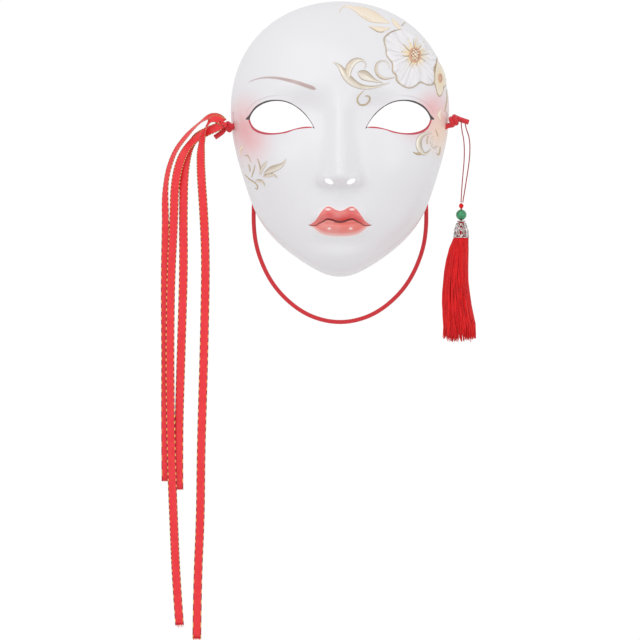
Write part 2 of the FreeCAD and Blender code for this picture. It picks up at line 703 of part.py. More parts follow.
doc.recompute()
HELPERS = {"shell_blank", "slot_bar", "left_strap_knot_ball", "left_strap_knot_seat",
           "right_strap_knot_ball", "right_strap_knot_seat", "left_strap_tail_rod",
           "right_strap_tail_rod", "bead_ball", "bead_bore", "core_rod", "cap_outside",
           "cap_inside", "cap_cone", "cap_piercings", "binding_ring"}
os.makedirs("parts", exist_ok=True)
shaped = [piece for piece in doc.Objects if hasattr(piece, "Shape")]
for piece in doc.Objects:
    if "Invalid" in piece.State or "Error" in piece.State:
        raise RuntimeError("%s did not build" % piece.Label)
for piece in shaped:
    if piece.Shape.isNull() or not piece.Shape.isValid():
        raise RuntimeError("%s has no valid shape" % piece.Label)
for piece in shaped:
    if piece.Label not in HELPERS:
        piece.Shape.exportStep("parts/%s.step" % piece.Label)
        print("%s: %.1f mm3" % (piece.Label, piece.Shape.Volume))
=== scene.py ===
import bmesh
import bpy
import math
import random
from mathutils import Matrix, Vector
from mathutils.bvhtree import BVHTree


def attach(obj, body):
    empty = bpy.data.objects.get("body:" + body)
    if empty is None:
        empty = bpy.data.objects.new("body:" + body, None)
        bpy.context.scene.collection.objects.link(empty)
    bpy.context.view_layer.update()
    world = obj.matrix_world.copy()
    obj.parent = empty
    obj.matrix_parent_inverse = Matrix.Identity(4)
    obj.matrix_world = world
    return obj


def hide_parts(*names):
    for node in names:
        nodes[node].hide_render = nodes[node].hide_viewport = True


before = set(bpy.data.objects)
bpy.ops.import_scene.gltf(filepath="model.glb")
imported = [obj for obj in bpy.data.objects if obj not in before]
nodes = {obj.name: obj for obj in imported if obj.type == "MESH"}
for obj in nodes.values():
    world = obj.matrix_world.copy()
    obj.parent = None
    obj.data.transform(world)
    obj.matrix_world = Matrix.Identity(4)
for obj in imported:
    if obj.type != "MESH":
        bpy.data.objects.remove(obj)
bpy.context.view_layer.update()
random.seed(11)

# ------------------------------------------------------------------ studio
# The mask hangs against a bright white sweep, lit by one broad soft light
# from the upper left and a weaker one from the right, over a pale floor.

MM = 0.001

camera_data = bpy.data.cameras.new("studio_camera")
camera_data.sensor_width = 36.0
camera_data.lens = 1125.0
camera_data.clip_end = 60.0
camera = bpy.data.objects.new("studio_camera", camera_data)
camera.location = (-0.016, -16.0, -0.1552)
camera.rotation_euler = (math.radians(90.0), 0.0, 0.0)
bpy.context.collection.objects.link(camera)
bpy.context.scene.camera = camera
bpy.context.scene.view_settings.view_transform = "Standard"

world = bpy.data.worlds.new("studio_world")
world.use_nodes = True
bpy.context.scene.world = world
sky = world.node_tree.nodes
sky_rays = sky.new("ShaderNodeLightPath")
sky_level = sky.new("ShaderNodeMapRange")
sky_level.inputs["To Min"].default_value = 0.84
sky_level.inputs["To Max"].default_value = 1.02
world.node_tree.links.new(sky_rays.outputs["Is Camera Ray"], sky_level.inputs["Value"])
world.node_tree.links.new(sky_level.outputs[0], sky["Background"].inputs["Strength"])
sky["Background"].inputs["Color"].default_value = (1.0, 1.0, 1.0, 1.0)


def soft_light(name, place, width, watts, colour):
    lamp = bpy.data.lights.new(name, "AREA")
    lamp.size = width
    lamp.energy = watts
    lamp.color = colour
    light = bpy.data.objects.new(name, lamp)
    light.location = place
    aim = Vector((0.0, 0.0, -0.05)) - Vector(place)
    light.rotation_euler = aim.to_track_quat("-Z", "Y").to_euler()
    bpy.context.collection.objects.link(light)


soft_light("key_light", (-0.9, -1.6, 1.2), 2.2, 10.5, (1.0, 0.985, 0.975))
soft_light("fill_light", (1.3, -1.7, 0.1), 1.6, 4.0, (0.97, 0.98, 1.0))

floor_form = bmesh.new()
bmesh.ops.create_grid(floor_form, x_segments=1, y_segments=1, size=0.6)
bmesh.ops.translate(floor_form, verts=floor_form.verts, vec=(-0.016, 0.0, -0.475))
floor_mesh = bpy.data.meshes.new("studio_floor")
floor_form.to_mesh(floor_mesh)
floor_form.free()
studio_floor = bpy.data.objects.new("studio_floor", floor_mesh)
bpy.context.collection.objects.link(studio_floor)


def finish_named(name, levels=None):
    """A new finish, its node tree and its shader, with the shader's plain levels set."""
    finish = bpy.data.materials.new(name)
    finish.use_nodes = True
    shader = finish.node_tree.nodes["Principled BSDF"]
    for socket, level in (levels or {}).items():
        shader.inputs[socket].default_value = level
    return finish, finish.node_tree, shader


def add_node(tree, kind, values=None, **settings):
    """A node with its settings, and each input set to a value or joined to a socket."""
    node = tree.nodes.new("ShaderNode" + kind)
    for name, value in settings.items():
        setattr(node, name, value)
    for name, value in (values or {}).items():
        if isinstance(value, bpy.types.NodeSocket):
            tree.links.new(value, node.inputs[name])
        else:
            node.inputs[name].default_value = value
    return node


def maths(tree, operation, one, other=0.0, third=0.0):
    node = add_node(tree, "Math", operation=operation)
    for socket, value in zip(node.inputs, (one, other, third)):
        if isinstance(value, bpy.types.NodeSocket):
            tree.links.new(value, socket)
        else:
            socket.default_value = value
    return node.outputs[0]


def smooth_step(tree, value, low, high, start=0.0, end=1.0):
    node = add_node(tree, "MapRange", {"From Min": low, "From Max": high, "To Min": start,
                    "To Max": end}, interpolation_type="SMOOTHSTEP")
    tree.links.new(value, node.inputs["Value"])
    return node.outputs[0]


def painted(tree, share, under, over):
    """One colour brushed over another, by a share from 0 to 1."""
    node = add_node(tree, "Mix", data_type="RGBA")
    for socket, value in ((node.inputs[0], share), (node.inputs[6], under), (node.inputs[7], over)):
        if isinstance(value, bpy.types.NodeSocket):
            tree.links.new(value, socket)
        elif isinstance(value, tuple):
            socket.default_value = (*value, 1.0)
        else:
            socket.default_value = value
    return node.outputs[2]


def tint(red, green, blue):
    """A colour from the way it is written in a paint chart, 0 to 255."""
    return tuple(((c / 255.0 + 0.055) / 1.055) ** 2.4 for c in (red, green, blue))


def grain(tree, scale, detail=2.0, distortion=0.0):
    """A noise fixed to the piece it is on, such as grit, fuzz or tarnish."""
    place = add_node(tree, "TexCoord")
    noise = add_node(tree, "TexNoise", {"Vector": place.outputs["Object"], "Scale": scale,
                     "Detail": detail, "Distortion": distortion})
    return noise.outputs[0]


pale_floor, tree, shader = finish_named("pale_floor_paint", {
    "Base Color": (0.86, 0.86, 0.86, 1.0), "Roughness": 0.8})
grit_bump = add_node(tree, "Bump", {"Strength": 0.05, "Height": grain(tree, 60.0, 4.0)})
tree.links.new(grit_bump.outputs[0], shader.inputs["Normal"])
floor_mesh.materials.append(pale_floor)

# ------------------------------------------------------------ elastic strap
# A round elastic of red yarn braided over a rubber core. It passes out
# through both temple slots, and hangs in a loop behind the chin.

STRAP_DIAMETER = 3.4
STRAP_BENDS = [(86.2, 0, 0), (66.5, 0, 0), (67, 12, -20), (67.8, 21, -44), (69.8, 24.5, -76),
               (66.5, 26, -101), (54, 26.5, -128), (33, 26.5, -148), (11, 26.5, -156.8)]


def smooth_line(route, steps=12):
    """The smooth line that a cord follows, read from its route in millimetres."""
    curve = bpy.data.curves.new("cord_route", "CURVE")
    curve.dimensions = "3D"
    curve.resolution_u = steps
    spline = curve.splines.new("NURBS")
    spline.points.add(len(route) - 1)
    for point, spot in zip(spline.points, route):
        point.co = (*(Vector(spot) * MM), 1.0)
    spline.order_u = 3
    spline.use_endpoint_u = True
    holder = bpy.data.objects.new("cord_route", curve)
    mesh = bpy.data.meshes.new_from_object(holder)
    line = [vert.co.copy() for vert in mesh.vertices]
    bpy.data.objects.remove(holder)
    bpy.data.meshes.remove(mesh)
    return line


def line_lengths(line):
    lengths = [0.0]
    for one, other in zip(line, line[1:]):
        lengths.append(lengths[-1] + (other - one).length)
    return lengths


def line_sides(line, first_side):
    """Two directions square to the line at each of its points, carried along it."""
    side = Vector(first_side)
    sides = []
    for number in range(len(line)):
        ahead = line[min(number + 1, len(line) - 1)] - line[max(number - 1, 0)]
        ahead.normalize()
        side = (side - ahead * side.dot(ahead)).normalized()
        sides.append((side.copy(), ahead.cross(side)))
    return sides


def laid_grid(name, across, along, place, closed=False, uv_size=(1.0, 1.0)):
    """A grid laid along a form: place(u, v) gives the spot for shares across and along."""
    form = bmesh.new()
    bmesh.ops.create_grid(form, x_segments=across, y_segments=along, size=0.5)
    chart = form.loops.layers.uv.new("UVMap")
    for face in form.faces:
        for loop in face.loops:
            spot = loop.vert.co
            loop[chart].uv = ((spot.x + 0.5) * uv_size[0], (spot.y + 0.5) * uv_size[1])
    for vert in form.verts:
        vert.co = place(min(max(vert.co.x + 0.5, 0.0), 1.0), min(max(vert.co.y + 0.5, 0.0), 1.0))
    if closed:
        bmesh.ops.remove_doubles(form, verts=form.verts, dist=1e-7)
        bmesh.ops.holes_fill(form, edges=[edge for edge in form.edges if edge.is_boundary])
        bmesh.ops.recalc_face_normals(form, faces=form.faces)
    return finished_piece(name, form)


def finished_piece(name, form):
    mesh = bpy.data.meshes.new(name)
    form.to_mesh(mesh)
    form.free()
    for face in mesh.polygons:
        face.use_smooth = True
    piece = bpy.data.objects.new(name, mesh)
    bpy.context.collection.objects.link(piece)
    return piece


def round_cord(name, line, diameter, around=16):
    """A round tube along a line, in metres, closed at both ends."""
    sides = line_sides(line, (0.0, 1.0, 0.0) if abs((line[1] - line[0]).normalized().y) < 0.9
                       else (1.0, 0.0, 0.0))
    last = len(line) - 1

    def place(u, v):
        number = min(last, round(v * last))
        angle = 2.0 * math.pi * u
        side, other = sides[number]
        return line[number] + (side * math.cos(angle) + other * math.sin(angle)) * diameter / 2.0
    return laid_grid(name, around, last, place, closed=True,
                     uv_size=(1.0, line_lengths(line)[-1] * 1000.0))


def chart_axes(tree):
    """The share across a piece and the run along it, from its own UV map."""
    chart = add_node(tree, "UVMap")
    parts = add_node(tree, "SeparateXYZ", {"Vector": chart.outputs[0]})
    return parts.outputs[0], parts.outputs[1]


def raised(tree, shader, height, strength, distance):
    """Fine relief on a finish, such as a weave; distance is in metres."""
    bump = add_node(tree, "Bump", {"Strength": strength, "Distance": distance, "Height": height})
    tree.links.new(bump.outputs[0], shader.inputs["Normal"])


BRAID_AROUND = 6.0  # strands side by side round the elastic
BRAID_ALONG = 0.85  # strands passed in each millimetre of its length

elastic, tree, shader = finish_named("braided_red_elastic", {
    "Roughness": 0.55, "Sheen Weight": 0.35, "Sheen Roughness": 0.4})
share_across, run_along = chart_axes(tree)
turn = maths(tree, "MULTIPLY", share_across, BRAID_AROUND)
run = maths(tree, "MULTIPLY", run_along, BRAID_ALONG)
one_way = maths(tree, "PINGPONG", maths(tree, "ADD", turn, run), 0.5)
other_way = maths(tree, "PINGPONG", maths(tree, "SUBTRACT", turn, run), 0.5)
braid = maths(tree, "MULTIPLY", maths(tree, "MAXIMUM", one_way, other_way), 2.0)
braid_fuzz = maths(tree, "MULTIPLY_ADD", grain(tree, 2600.0, 3.0), 0.35, braid)
raised(tree, shader, braid_fuzz, 0.45, 0.00022)
# The grooves between the strands take the darker red: painted shade.
tree.links.new(painted(tree, smooth_step(tree, braid_fuzz, 0.45, 1.15), tint(176, 12, 28),
                       tint(232, 42, 54)), shader.inputs["Base Color"])

strap_line = smooth_line([(-x, y, z) for x, y, z in STRAP_BENDS] + STRAP_BENDS[::-1])
strap = round_cord("red_elastic_strap", strap_line, STRAP_DIAMETER * MM)
strap.data.materials.append(elastic)
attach(strap, "strap")
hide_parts("strap_cord")
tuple(strap_line[0])
line_lengths(strap_line)[-1]

# ------------------------------------------------------------ ribbon tails
# Four tails of red satin ribbon with a metallic thread sewn through both
# selvedges, tied on in front of the left knot. Two are long, two are short.

RIBBON_WIDTH = 7.0
RIBBON_THICKNESS = 0.25
RIBBON_CUP = 0.00035  # metres; how far a tail cups across its width
CUP_RUN = 31.0  # millimetres along a tail over which its cup turns
RIBBON_ROUTES = {
    "ribbon_rear_short": [
        (-93.5, -7.0, 3.2), (-96.5, -6.2, 7.6), (-103, -6.0, 8.6), (-112, -6.0, 3.2),
        (-123, -6.0, -7.6), (-133.6, -5.8, -22), (-140.2, -5.6, -46), (-139.4, -5.4, -82),
        (-140, -5.2, -132), (-139.4, -5.4, -184), (-139.8, -5.2, -234), (-139.2, -5.0, -284)],
    "ribbon_middle_short": [
        (-94.2, -7.2, 0.4), (-108, -6.8, -4.2), (-119.6, -6.6, -13), (-124.6, -6.6, -34),
        (-125.4, -6.7, -70), (-125, -6.6, -112), (-126.4, -6.4, -160), (-127.8, -6.4, -206),
        (-129, -6.6, -250), (-128.8, -6.6, -290.8)],
    "ribbon_long_inner": [
        (-93.4, -8.2, 2.8), (-98.4, -8.8, 6.4), (-104.0, -10.4, 4.4), (-108.6, -12.6, -4.4),
        (-111.4, -12.2, -18), (-111.2, -10.8, -38), (-109, -9.4, -68), (-107.4, -8.0, -106),
        (-108.2, -7.6, -156), (-109.6, -7.4, -210), (-111.2, -7.4, -262), (-111.6, -7.2, -314),
        (-114, -7.2, -364), (-114.5, -7.2, -410)],
    "ribbon_long_front": [
        (-94.2, -8.2, 0.6), (-109, -8.2, -5), (-124, -8.6, -17.6), (-132, -8.8, -41),
        (-133, -8.8, -78), (-135.2, -8.6, -118), (-136, -8.4, -170), (-135.8, -8.4, -222),
        (-134.6, -8.2, -276), (-132.6, -8.2, -326), (-131, -8.0, -362), (-128.3, -8.0, -399)],
}
# Turns away from facing forwards, in degrees, at lengths down each tail in millimetres.
RIBBON_TWISTS = {
    "ribbon_rear_short": [
        (0, 20), (10, 50), (22, 76), (40, 60), (75, 55), (100, 38), (150, 14), (220, 6), (270, 16),
        (320, 8)],
    "ribbon_middle_short": [
        (0, -30), (14, -12), (28, 30), (44, 12), (80, 8), (160, -6), (240, 8), (310, 0)],
    "ribbon_long_inner": [
        (0, 0), (8, 30), (14, 72), (20, 80), (30, 46), (42, 18), (60, 6), (120, -8), (200, 6),
        (280, -10), (360, 4), (430, 0)],
    "ribbon_long_front": [
        (0, -20), (14, 20), (30, 38), (48, 12), (90, 0), (160, -8), (240, 6), (320, -8), (420, 4)],
}

SELVEDGE_START = 0.4  # share of the width, out from the middle
RIBS_EACH_MM = 3.1
STITCH_LENGTH = 4.0

satin, tree, shader = finish_named("red_satin_with_metallic_selvedge", {
    "Sheen Weight": 0.12, "Sheen Tint": (1.0, 0.5, 0.5, 1.0)})
share_across, run_along = chart_axes(tree)
off_middle = maths(tree, "ABSOLUTE", maths(tree, "SUBTRACT", share_across, 0.5))
in_edge = smooth_step(tree, off_middle, SELVEDGE_START, SELVEDGE_START + 0.02)
rib = maths(tree, "PINGPONG", maths(tree, "MULTIPLY", run_along, RIBS_EACH_MM), 0.5)
edge_stitch = maths(tree, "FRACT", maths(tree, "DIVIDE", run_along, STITCH_LENGTH))
on_top = maths(tree, "MULTIPLY", in_edge, smooth_step(tree, edge_stitch, 0.55, 0.62))
satin_red = painted(tree, grain(tree, 220.0, 3.0), tint(226, 20, 34), tint(248, 52, 62))
satin_edge = painted(tree, in_edge, satin_red, tint(150, 12, 26))
satin_all = painted(tree, on_top, satin_edge, tint(236, 198, 122))
tree.links.new(satin_all, shader.inputs["Base Color"])
tree.links.new(maths(tree, "MULTIPLY", on_top, 0.85), shader.inputs["Metallic"])
tree.links.new(smooth_step(tree, in_edge, 0.0, 1.0, 0.34, 0.42), shader.inputs["Roughness"])
raised(tree, shader, maths(tree, "MULTIPLY_ADD", on_top, 1.2, rib), 0.4, 0.00012)


def twist_at(turns, length):
    """The twist between the given ones, eased from each to the next."""
    for (start, before), (end, after) in zip(turns, turns[1:]):
        if length <= end:
            share = (length - start) / (end - start)
            share = share * share * (3.0 - 2.0 * share)
            return math.radians(before + (after - before) * share)
    return math.radians(turns[-1][1])


def satin_ribbon(name, line, turns):
    lengths = line_lengths(line)
    last = len(line) - 1

    def place(u, v):
        number = min(last, round(v * last))
        ahead = (line[min(number + 1, last)] - line[max(number - 1, 0)]).normalized()
        facing = Vector((0.0, -1.0, 0.0))
        facing = (facing - ahead * facing.dot(ahead)).normalized()
        length = lengths[number] * 1000.0
        facing = Matrix.Rotation(twist_at(turns, length), 3, ahead) @ facing
        side = ahead.cross(facing)
        width = RIBBON_WIDTH * MM
        cup = (math.cos(math.pi * (u - 0.5)) * RIBBON_CUP
               * math.sin(length / CUP_RUN + len(name)))
        return line[number] + side * (u - 0.5) * width + facing * cup
    ribbon = laid_grid(name, 10, last, place, uv_size=(1.0, lengths[-1] * 1000.0))
    body = ribbon.modifiers.new("cloth_thickness", "SOLIDIFY")
    body.thickness = RIBBON_THICKNESS * MM
    body.offset = 0.0
    return ribbon


for cad_name, route in RIBBON_ROUTES.items():
    ribbon_line = smooth_line(route, 14)
    tail = satin_ribbon(cad_name + "_satin", ribbon_line, RIBBON_TWISTS[cad_name])
    tail.data.materials.append(satin)
    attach(tail, "ribbons")
    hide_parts(cad_name)
    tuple(ribbon_line[0])
    line_lengths(ribbon_line)[-1]

# ------------------------------------------------------- tassel's loop cord
# A thin twisted cord, doubled. It hangs over the right knot's cut end, and
# its two strands meet in the stopper knot above the bead.

LOOP_DIAMETER = 0.9
LOOP_ROUTE = [(96.8, -0.7, -61.3), (97.5, -1.1, -47), (99.6, -1.8, -26), (99.3, -2.4, -12),
              (97.4, -2.9, -3.5), (96.6, -2.9, 6.1), (99.8, 2.9, 6.3), (100.6, 2.9, -1.5),
              (103.9, 2.4, -10), (104, 1.9, -24), (101.4, 1.3, -42), (98.2, 0.7, -61.3)]

twisted_thread, tree, shader = finish_named("twisted_red_thread", {
    "Roughness": 0.6, "Sheen Weight": 0.3})
share_across, run_along = chart_axes(tree)
slant = maths(tree, "ADD", maths(tree, "MULTIPLY", share_across, 2.0),
              maths(tree, "MULTIPLY", run_along, 1.1))
ply = maths(tree, "MULTIPLY", maths(tree, "PINGPONG", slant, 0.5), 2.0)
# The grooves between the plies take the darker red: painted shade.
tree.links.new(painted(tree, ply, tint(120, 22, 26), tint(206, 60, 58)),
               shader.inputs["Base Color"])
raised(tree, shader, ply, 0.8, 0.0002)

loop_line = smooth_line(LOOP_ROUTE)
loop = round_cord("twisted_loop_cord", loop_line, LOOP_DIAMETER * MM, 10)
loop.data.materials.append(twisted_thread)
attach(loop, "hanger")
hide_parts("tassel_loop_cord")
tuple(loop_line[0])
line_lengths(loop_line)[-1]

# -------------------------------------------------------------- mask shell
# A moulded face two millimetres thick, lacquered gloss white. The lips, the brow, the lids and the
# blush are brushed on by hand under the last coat, and pale spots on the lips are painted
# highlights.

UPPER_LIP_EDGE = [(0, -68.2), (3.4, -67.2), (6.7, -65.4), (9.4, -64.6), (12, -65.7), (14.5, -68.2),
                  (17.3, -72.3), (20.2, -76.2), (24.4, -79.2)]
LOWER_LIP_EDGE = [(0, -88.5), (4, -88.5), (9.1, -88.0), (14.5, -86.5), (18.2, -84.3), (21, -82.0),
                  (24.4, -79.5)]
MOUTH_LINE = [(0, -77.0), (3.4, -76.5), (6.7, -75.2), (9.9, -74.8), (12.8, -76.2), (16.5, -78.0),
              (21.0, -79.9), (25.6, -79.0)]
LINER_TOP = [(20.2, -2.4), (21.3, -0.1), (25, 5.8), (29.4, 11.1), (35, 15.5), (43.1, 19.5),
             (50, 20.6), (57.3, 20.2), (63, 18.2), (67.4, 15.4), (70.8, 11.4), (73.0, 8.2),
             (75.6, 5.6)]
LID_MIDDLE = [(20.2, -2.8), (22.5, -1.0), (30, 4), (45, 7), (57, 7), (67, 6.5), (70.6, 6.4),
              (72.4, 4.8), (75.6, 5.0)]
LOWER_LINER = [(21.0, -1.8), (33.5, -2.9), (45.1, -6.3), (57.8, -7.3), (64, -6.2), (68.9, -3.6),
               (71.6, 0.0), (73.4, 5.0)]
LID_CREASE = [(36, 22.2), (42, 23.6), (55.2, 23.4), (61.6, 21.6), (66.7, 19.3), (72.2, 14.7),
              (75.4, 9.5)]
BROW_MIDDLE = [(18.6, 28.9), (24.9, 31.0), (34.1, 34.2), (43.3, 36.6), (51.5, 38.1), (58.9, 38.4),
               (66.2, 37.4), (74.5, 32.8)]

lacquer, tree, shader = finish_named("hand_painted_white_lacquer", {
    "Coat Weight": 0.55, "Coat Roughness": 0.28})
place_node = add_node(tree, "TexCoord")
spot = add_node(tree, "SeparateXYZ", {"Vector": place_node.outputs["Object"]})
facing = add_node(tree, "SeparateXYZ", {"Vector": place_node.outputs["Normal"]})
across = maths(tree, "MULTIPLY", spot.outputs[0], 1000.0)
upward = maths(tree, "MULTIPLY", spot.outputs[2], 1000.0)
aside = maths(tree, "ABSOLUTE", across)
front = smooth_step(tree, facing.outputs[1], 0.12, -0.02)
on_left = smooth_step(tree, across, 1.0, -1.0)


def drawn_line(across_socket, spots):
    """The height of a brushed line at a distance across the face, in millimetres."""
    low = min(z for x, z in spots)
    high = max(z for x, z in spots)
    first, last = spots[0][0], spots[-1][0]
    share = add_node(tree, "MapRange", {"Value": across_socket, "From Min": first,
                     "From Max": last})
    node = add_node(tree, "FloatCurve", {"Value": share.outputs[0]})
    points = node.mapping.curves[0].points
    points[0].location = (0.0, (spots[0][1] - low) / (high - low))
    points[1].location = (1.0, (spots[-1][1] - low) / (high - low))
    for x, z in spots[1:-1]:
        points.new((x - first) / (last - first), (z - low) / (high - low))
    node.mapping.update()
    return maths(tree, "MULTIPLY_ADD", node.outputs[0], high - low, low)


def times(*shares):
    product = shares[0]
    for share in shares[1:]:
        product = maths(tree, "MULTIPLY", product, share)
    return product


def between(height, lower, upper, soft=0.3):
    """1 where a height lies between two lines, with soft brushed edges."""
    above = smooth_step(tree, maths(tree, "SUBTRACT", height, lower), -soft, soft)
    below = smooth_step(tree, maths(tree, "SUBTRACT", upper, height), -soft, soft)
    return times(above, below)


def pool(centre_x, centre_z, reach_x, reach_z, across_socket):
    """A soft round patch of colour that fades out from its centre."""
    x = maths(tree, "DIVIDE", maths(tree, "SUBTRACT", across_socket, centre_x), reach_x)
    z = maths(tree, "DIVIDE", maths(tree, "SUBTRACT", upward, centre_z), reach_z)
    square = maths(tree, "ADD", maths(tree, "MULTIPLY", x, x), maths(tree, "MULTIPLY", z, z))
    return smooth_step(tree, maths(tree, "SQRT", square), 1.0, 0.0)


brushing = add_node(tree, "TexNoise", {"Vector": place_node.outputs["Object"], "Scale": 90.0,
                    "Detail": 5.0})
mottle = add_node(tree, "TexNoise", {"Vector": place_node.outputs["Object"], "Scale": 14.0,
                  "Detail": 3.0})
paint = painted(tree, mottle.outputs[0], tint(228, 227, 231), tint(235, 234, 237))
uneven = smooth_step(tree, brushing.outputs[0], 0.2, 0.8, 0.82, 1.0)

# Blush fans out from the outer corner of each eye, warmer by the one on the right.
blush = maths(tree, "ADD", times(pool(-76, 2, 25, 32, across), 0.5),
              times(pool(-70, -14, 23, 26, across), 0.34))
blush = maths(tree, "ADD", blush, times(pool(75, 13, 22, 22, across), 0.62))
blush = maths(tree, "ADD", blush, times(pool(70, -4, 34, 16, across), 0.3))
paint = painted(tree, times(blush, front, uneven), paint, tint(240, 146, 148))
paint = painted(tree, times(pool(80, -6, 16, 26, across), front, 0.75), paint,
                tint(247, 216, 188))

# The lids: a soft grey line along each crease, part brushed line and part painted shade;
# a dark line along the upper edge, with a short wing, and a red one below.
crease = drawn_line(aside, LID_CREASE)
crease_share = times(between(upward, maths(tree, "SUBTRACT", crease, 0.2),
                             maths(tree, "ADD", crease, 0.5), 0.7),
                     smooth_step(tree, aside, 40.0, 60.0), smooth_step(tree, aside, 75.6, 74.6),
                     front, 0.45)
paint = painted(tree, crease_share, paint, tint(176, 150, 152))
middle = drawn_line(aside, LID_MIDDLE)
red_line = times(between(upward, drawn_line(aside, LOWER_LINER), middle, 0.25),
                 smooth_step(tree, aside, 73.6, 73.0), smooth_step(tree, aside, 21.2, 23.0), front)
paint = painted(tree, red_line, paint, tint(196, 58, 78))
dark_line = times(between(upward, middle, drawn_line(aside, LINER_TOP), 0.22),
                  smooth_step(tree, aside, 75.6, 75.0), smooth_step(tree, aside, 20.1, 20.6), front)
paint = painted(tree, dark_line, paint, tint(58, 46, 50))

# One brow, over the left eye as it is looked at, broad inside and fine at its tip.
brow = drawn_line(aside, BROW_MIDDLE)
brow_half = times(smooth_step(tree, aside, 76.0, 24.0, 0.35, 1.65),
                  smooth_step(tree, aside, 18.4, 22.4, 0.3, 1.0))
brow_share = times(between(upward, maths(tree, "SUBTRACT", brow, brow_half),
                           maths(tree, "ADD", brow, brow_half), 0.55),
                   smooth_step(tree, aside, 18.4, 20.2), smooth_step(tree, aside, 74.4, 70.5),
                   on_left, front, uneven, 0.85)
paint = painted(tree, brow_share, paint, tint(176, 142, 136))

# The lips: a red upper one, a paler lower one, a dark line between, a pale rim, and painted
# highlights on both.
upper_edge = drawn_line(aside, UPPER_LIP_EDGE)
lower_edge = drawn_line(aside, LOWER_LIP_EDGE)
mouth_line = drawn_line(aside, MOUTH_LINE)
in_mouth = smooth_step(tree, aside, 24.6, 24.0)
rim_share = times(between(upward, maths(tree, "SUBTRACT", lower_edge, 0.5),
                          maths(tree, "ADD", upper_edge, 0.75), 0.35),
                  smooth_step(tree, aside, 24.4, 20.0), front, 0.75)
paint = painted(tree, rim_share, paint, tint(252, 240, 238))
upper_depth = smooth_step(tree, maths(tree, "SUBTRACT", upper_edge, upward), 0.0, 7.5)
upper_red = painted(tree, upper_depth, tint(228, 104, 98), tint(222, 66, 64))
paint = painted(tree, times(between(upward, mouth_line, upper_edge), in_mouth, front, uneven),
                paint, upper_red)
lower_depth = smooth_step(tree, maths(tree, "SUBTRACT", upward, lower_edge), 0.0, 3.8)
lower_red = painted(tree, lower_depth, tint(240, 190, 186), tint(234, 118, 108))
paint = painted(tree, times(between(upward, lower_edge, mouth_line), in_mouth, front, uneven),
                paint, lower_red)
line_half = smooth_step(tree, aside, 26.0, 2.0, 0.3, 0.85)
line_share = times(between(upward, maths(tree, "SUBTRACT", mouth_line, line_half),
                           maths(tree, "ADD", mouth_line, line_half), 0.28),
                   smooth_step(tree, aside, 25.9, 24.5), front)
paint = painted(tree, line_share, paint, tint(104, 30, 30))
# Pale spots on both lips, two on each, are painted highlights.
painted_lip_highlights = maths(tree, "ADD", pool(8.6, -82.2, 2.3, 1.4, aside), pool(9.6, -66.9, 3.6, 1.5, aside))
paint = painted(tree, times(painted_lip_highlights, front, 0.95), paint, tint(255, 244, 242))
tree.links.new(paint, shader.inputs["Base Color"])

ripple = add_node(tree, "TexNoise", {"Vector": place_node.outputs["Object"], "Scale": 35.0,
                  "Detail": 2.0})
orange_peel = add_node(tree, "TexNoise", {"Vector": place_node.outputs["Object"],
                       "Scale": 900.0, "Detail": 2.0})
lacquer_height = maths(tree, "MULTIPLY_ADD", orange_peel.outputs[0], 0.06, ripple.outputs[0])
raised(tree, shader, lacquer_height, 0.12, 0.0006)
tree.links.new(smooth_step(tree, brushing.outputs[0], 0.3, 0.7, 0.3, 0.4),
               shader.inputs["Roughness"])
for slot in nodes["mask_shell"].material_slots:
    slot.material = lacquer

# -------------------------------------------------------------------- nose
# The tip and the two wings of the nose stand out from the moulded face in
# low rounded swellings, under the same lacquer, and die away at the nostrils.

face_tree = BVHTree.FromPolygons([vert.co for vert in nodes["mask_shell"].data.vertices],
                                 [tuple(face.vertices) for face in
                                  nodes["mask_shell"].data.polygons])

NOSTRIL_CENTRE = (8.8, -44.7)
NOSTRIL_HALF = (4.3, 2.7)
NOSTRIL_TILT = math.radians(22.0)


def beside_nostril(x, z):
    """0 at a nostril's rim, rising to 1 a little way out from it."""
    across = abs(x) - NOSTRIL_CENTRE[0]
    above = z - NOSTRIL_CENTRE[1]
    along = (across * math.cos(NOSTRIL_TILT) + above * math.sin(NOSTRIL_TILT)) / NOSTRIL_HALF[0]
    off = (above * math.cos(NOSTRIL_TILT) - across * math.sin(NOSTRIL_TILT)) / NOSTRIL_HALF[1]
    share = max(0.0, min(1.0, (math.hypot(along, off) - 1.0) / 0.75))
    return share * share * (3.0 - 2.0 * share)


SWELL_SPOKES = 96
SWELL_RINGS = 34
IN_FRONT = -0.2  # metres; every ray at the face starts from here
SWELL_SUNK = 0.03  # how far a swelling's rim lies under the lacquer, in millimetres


def face_swell(name, centre, reach, lift):
    """A low rounded swelling of the shell; its rim runs out level with the lacquer."""
    form = bmesh.new()
    rings = []
    for ring in range(SWELL_RINGS + 1):
        v = ring / SWELL_RINGS
        row = []
        for step in range(SWELL_SPOKES):
            angle = 2.0 * math.pi * step / SWELL_SPOKES
            x = centre[0] + reach[0] * v * math.cos(angle)
            z = centre[1] + reach[1] * v * math.sin(angle)
            hit, normal, _, _ = face_tree.ray_cast(Vector((x * MM, IN_FRONT, z * MM)),
                                                   Vector((0, 1, 0)))
            open_here = hit is None or normal.y > -0.3 or beside_nostril(x, z) <= 0.0
            rise = lift * (1.0 - v * v) ** 2 * beside_nostril(x, z) - SWELL_SUNK * v ** 8
            row.append(None if open_here else form.verts.new(hit - Vector((0, rise * MM, 0))))
        rings.append(row)
    for inner, outer in zip(rings, rings[1:]):
        for step in range(SWELL_SPOKES):
            corners = [inner[step], inner[step - 1], outer[step - 1], outer[step]]
            if all(corners):
                form.faces.new(corners)
    bmesh.ops.remove_doubles(form, verts=form.verts, dist=1e-6)
    bmesh.ops.delete(form, geom=[vert for vert in form.verts if not vert.link_faces],
                     context="VERTS")
    bmesh.ops.recalc_face_normals(form, faces=form.faces)
    if sum(face.normal.y for face in form.faces) > 0.0:
        bmesh.ops.reverse_faces(form, faces=form.faces)
    swell = finished_piece(name, form)
    swell.data.materials.append(lacquer)
    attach(swell, "mask")


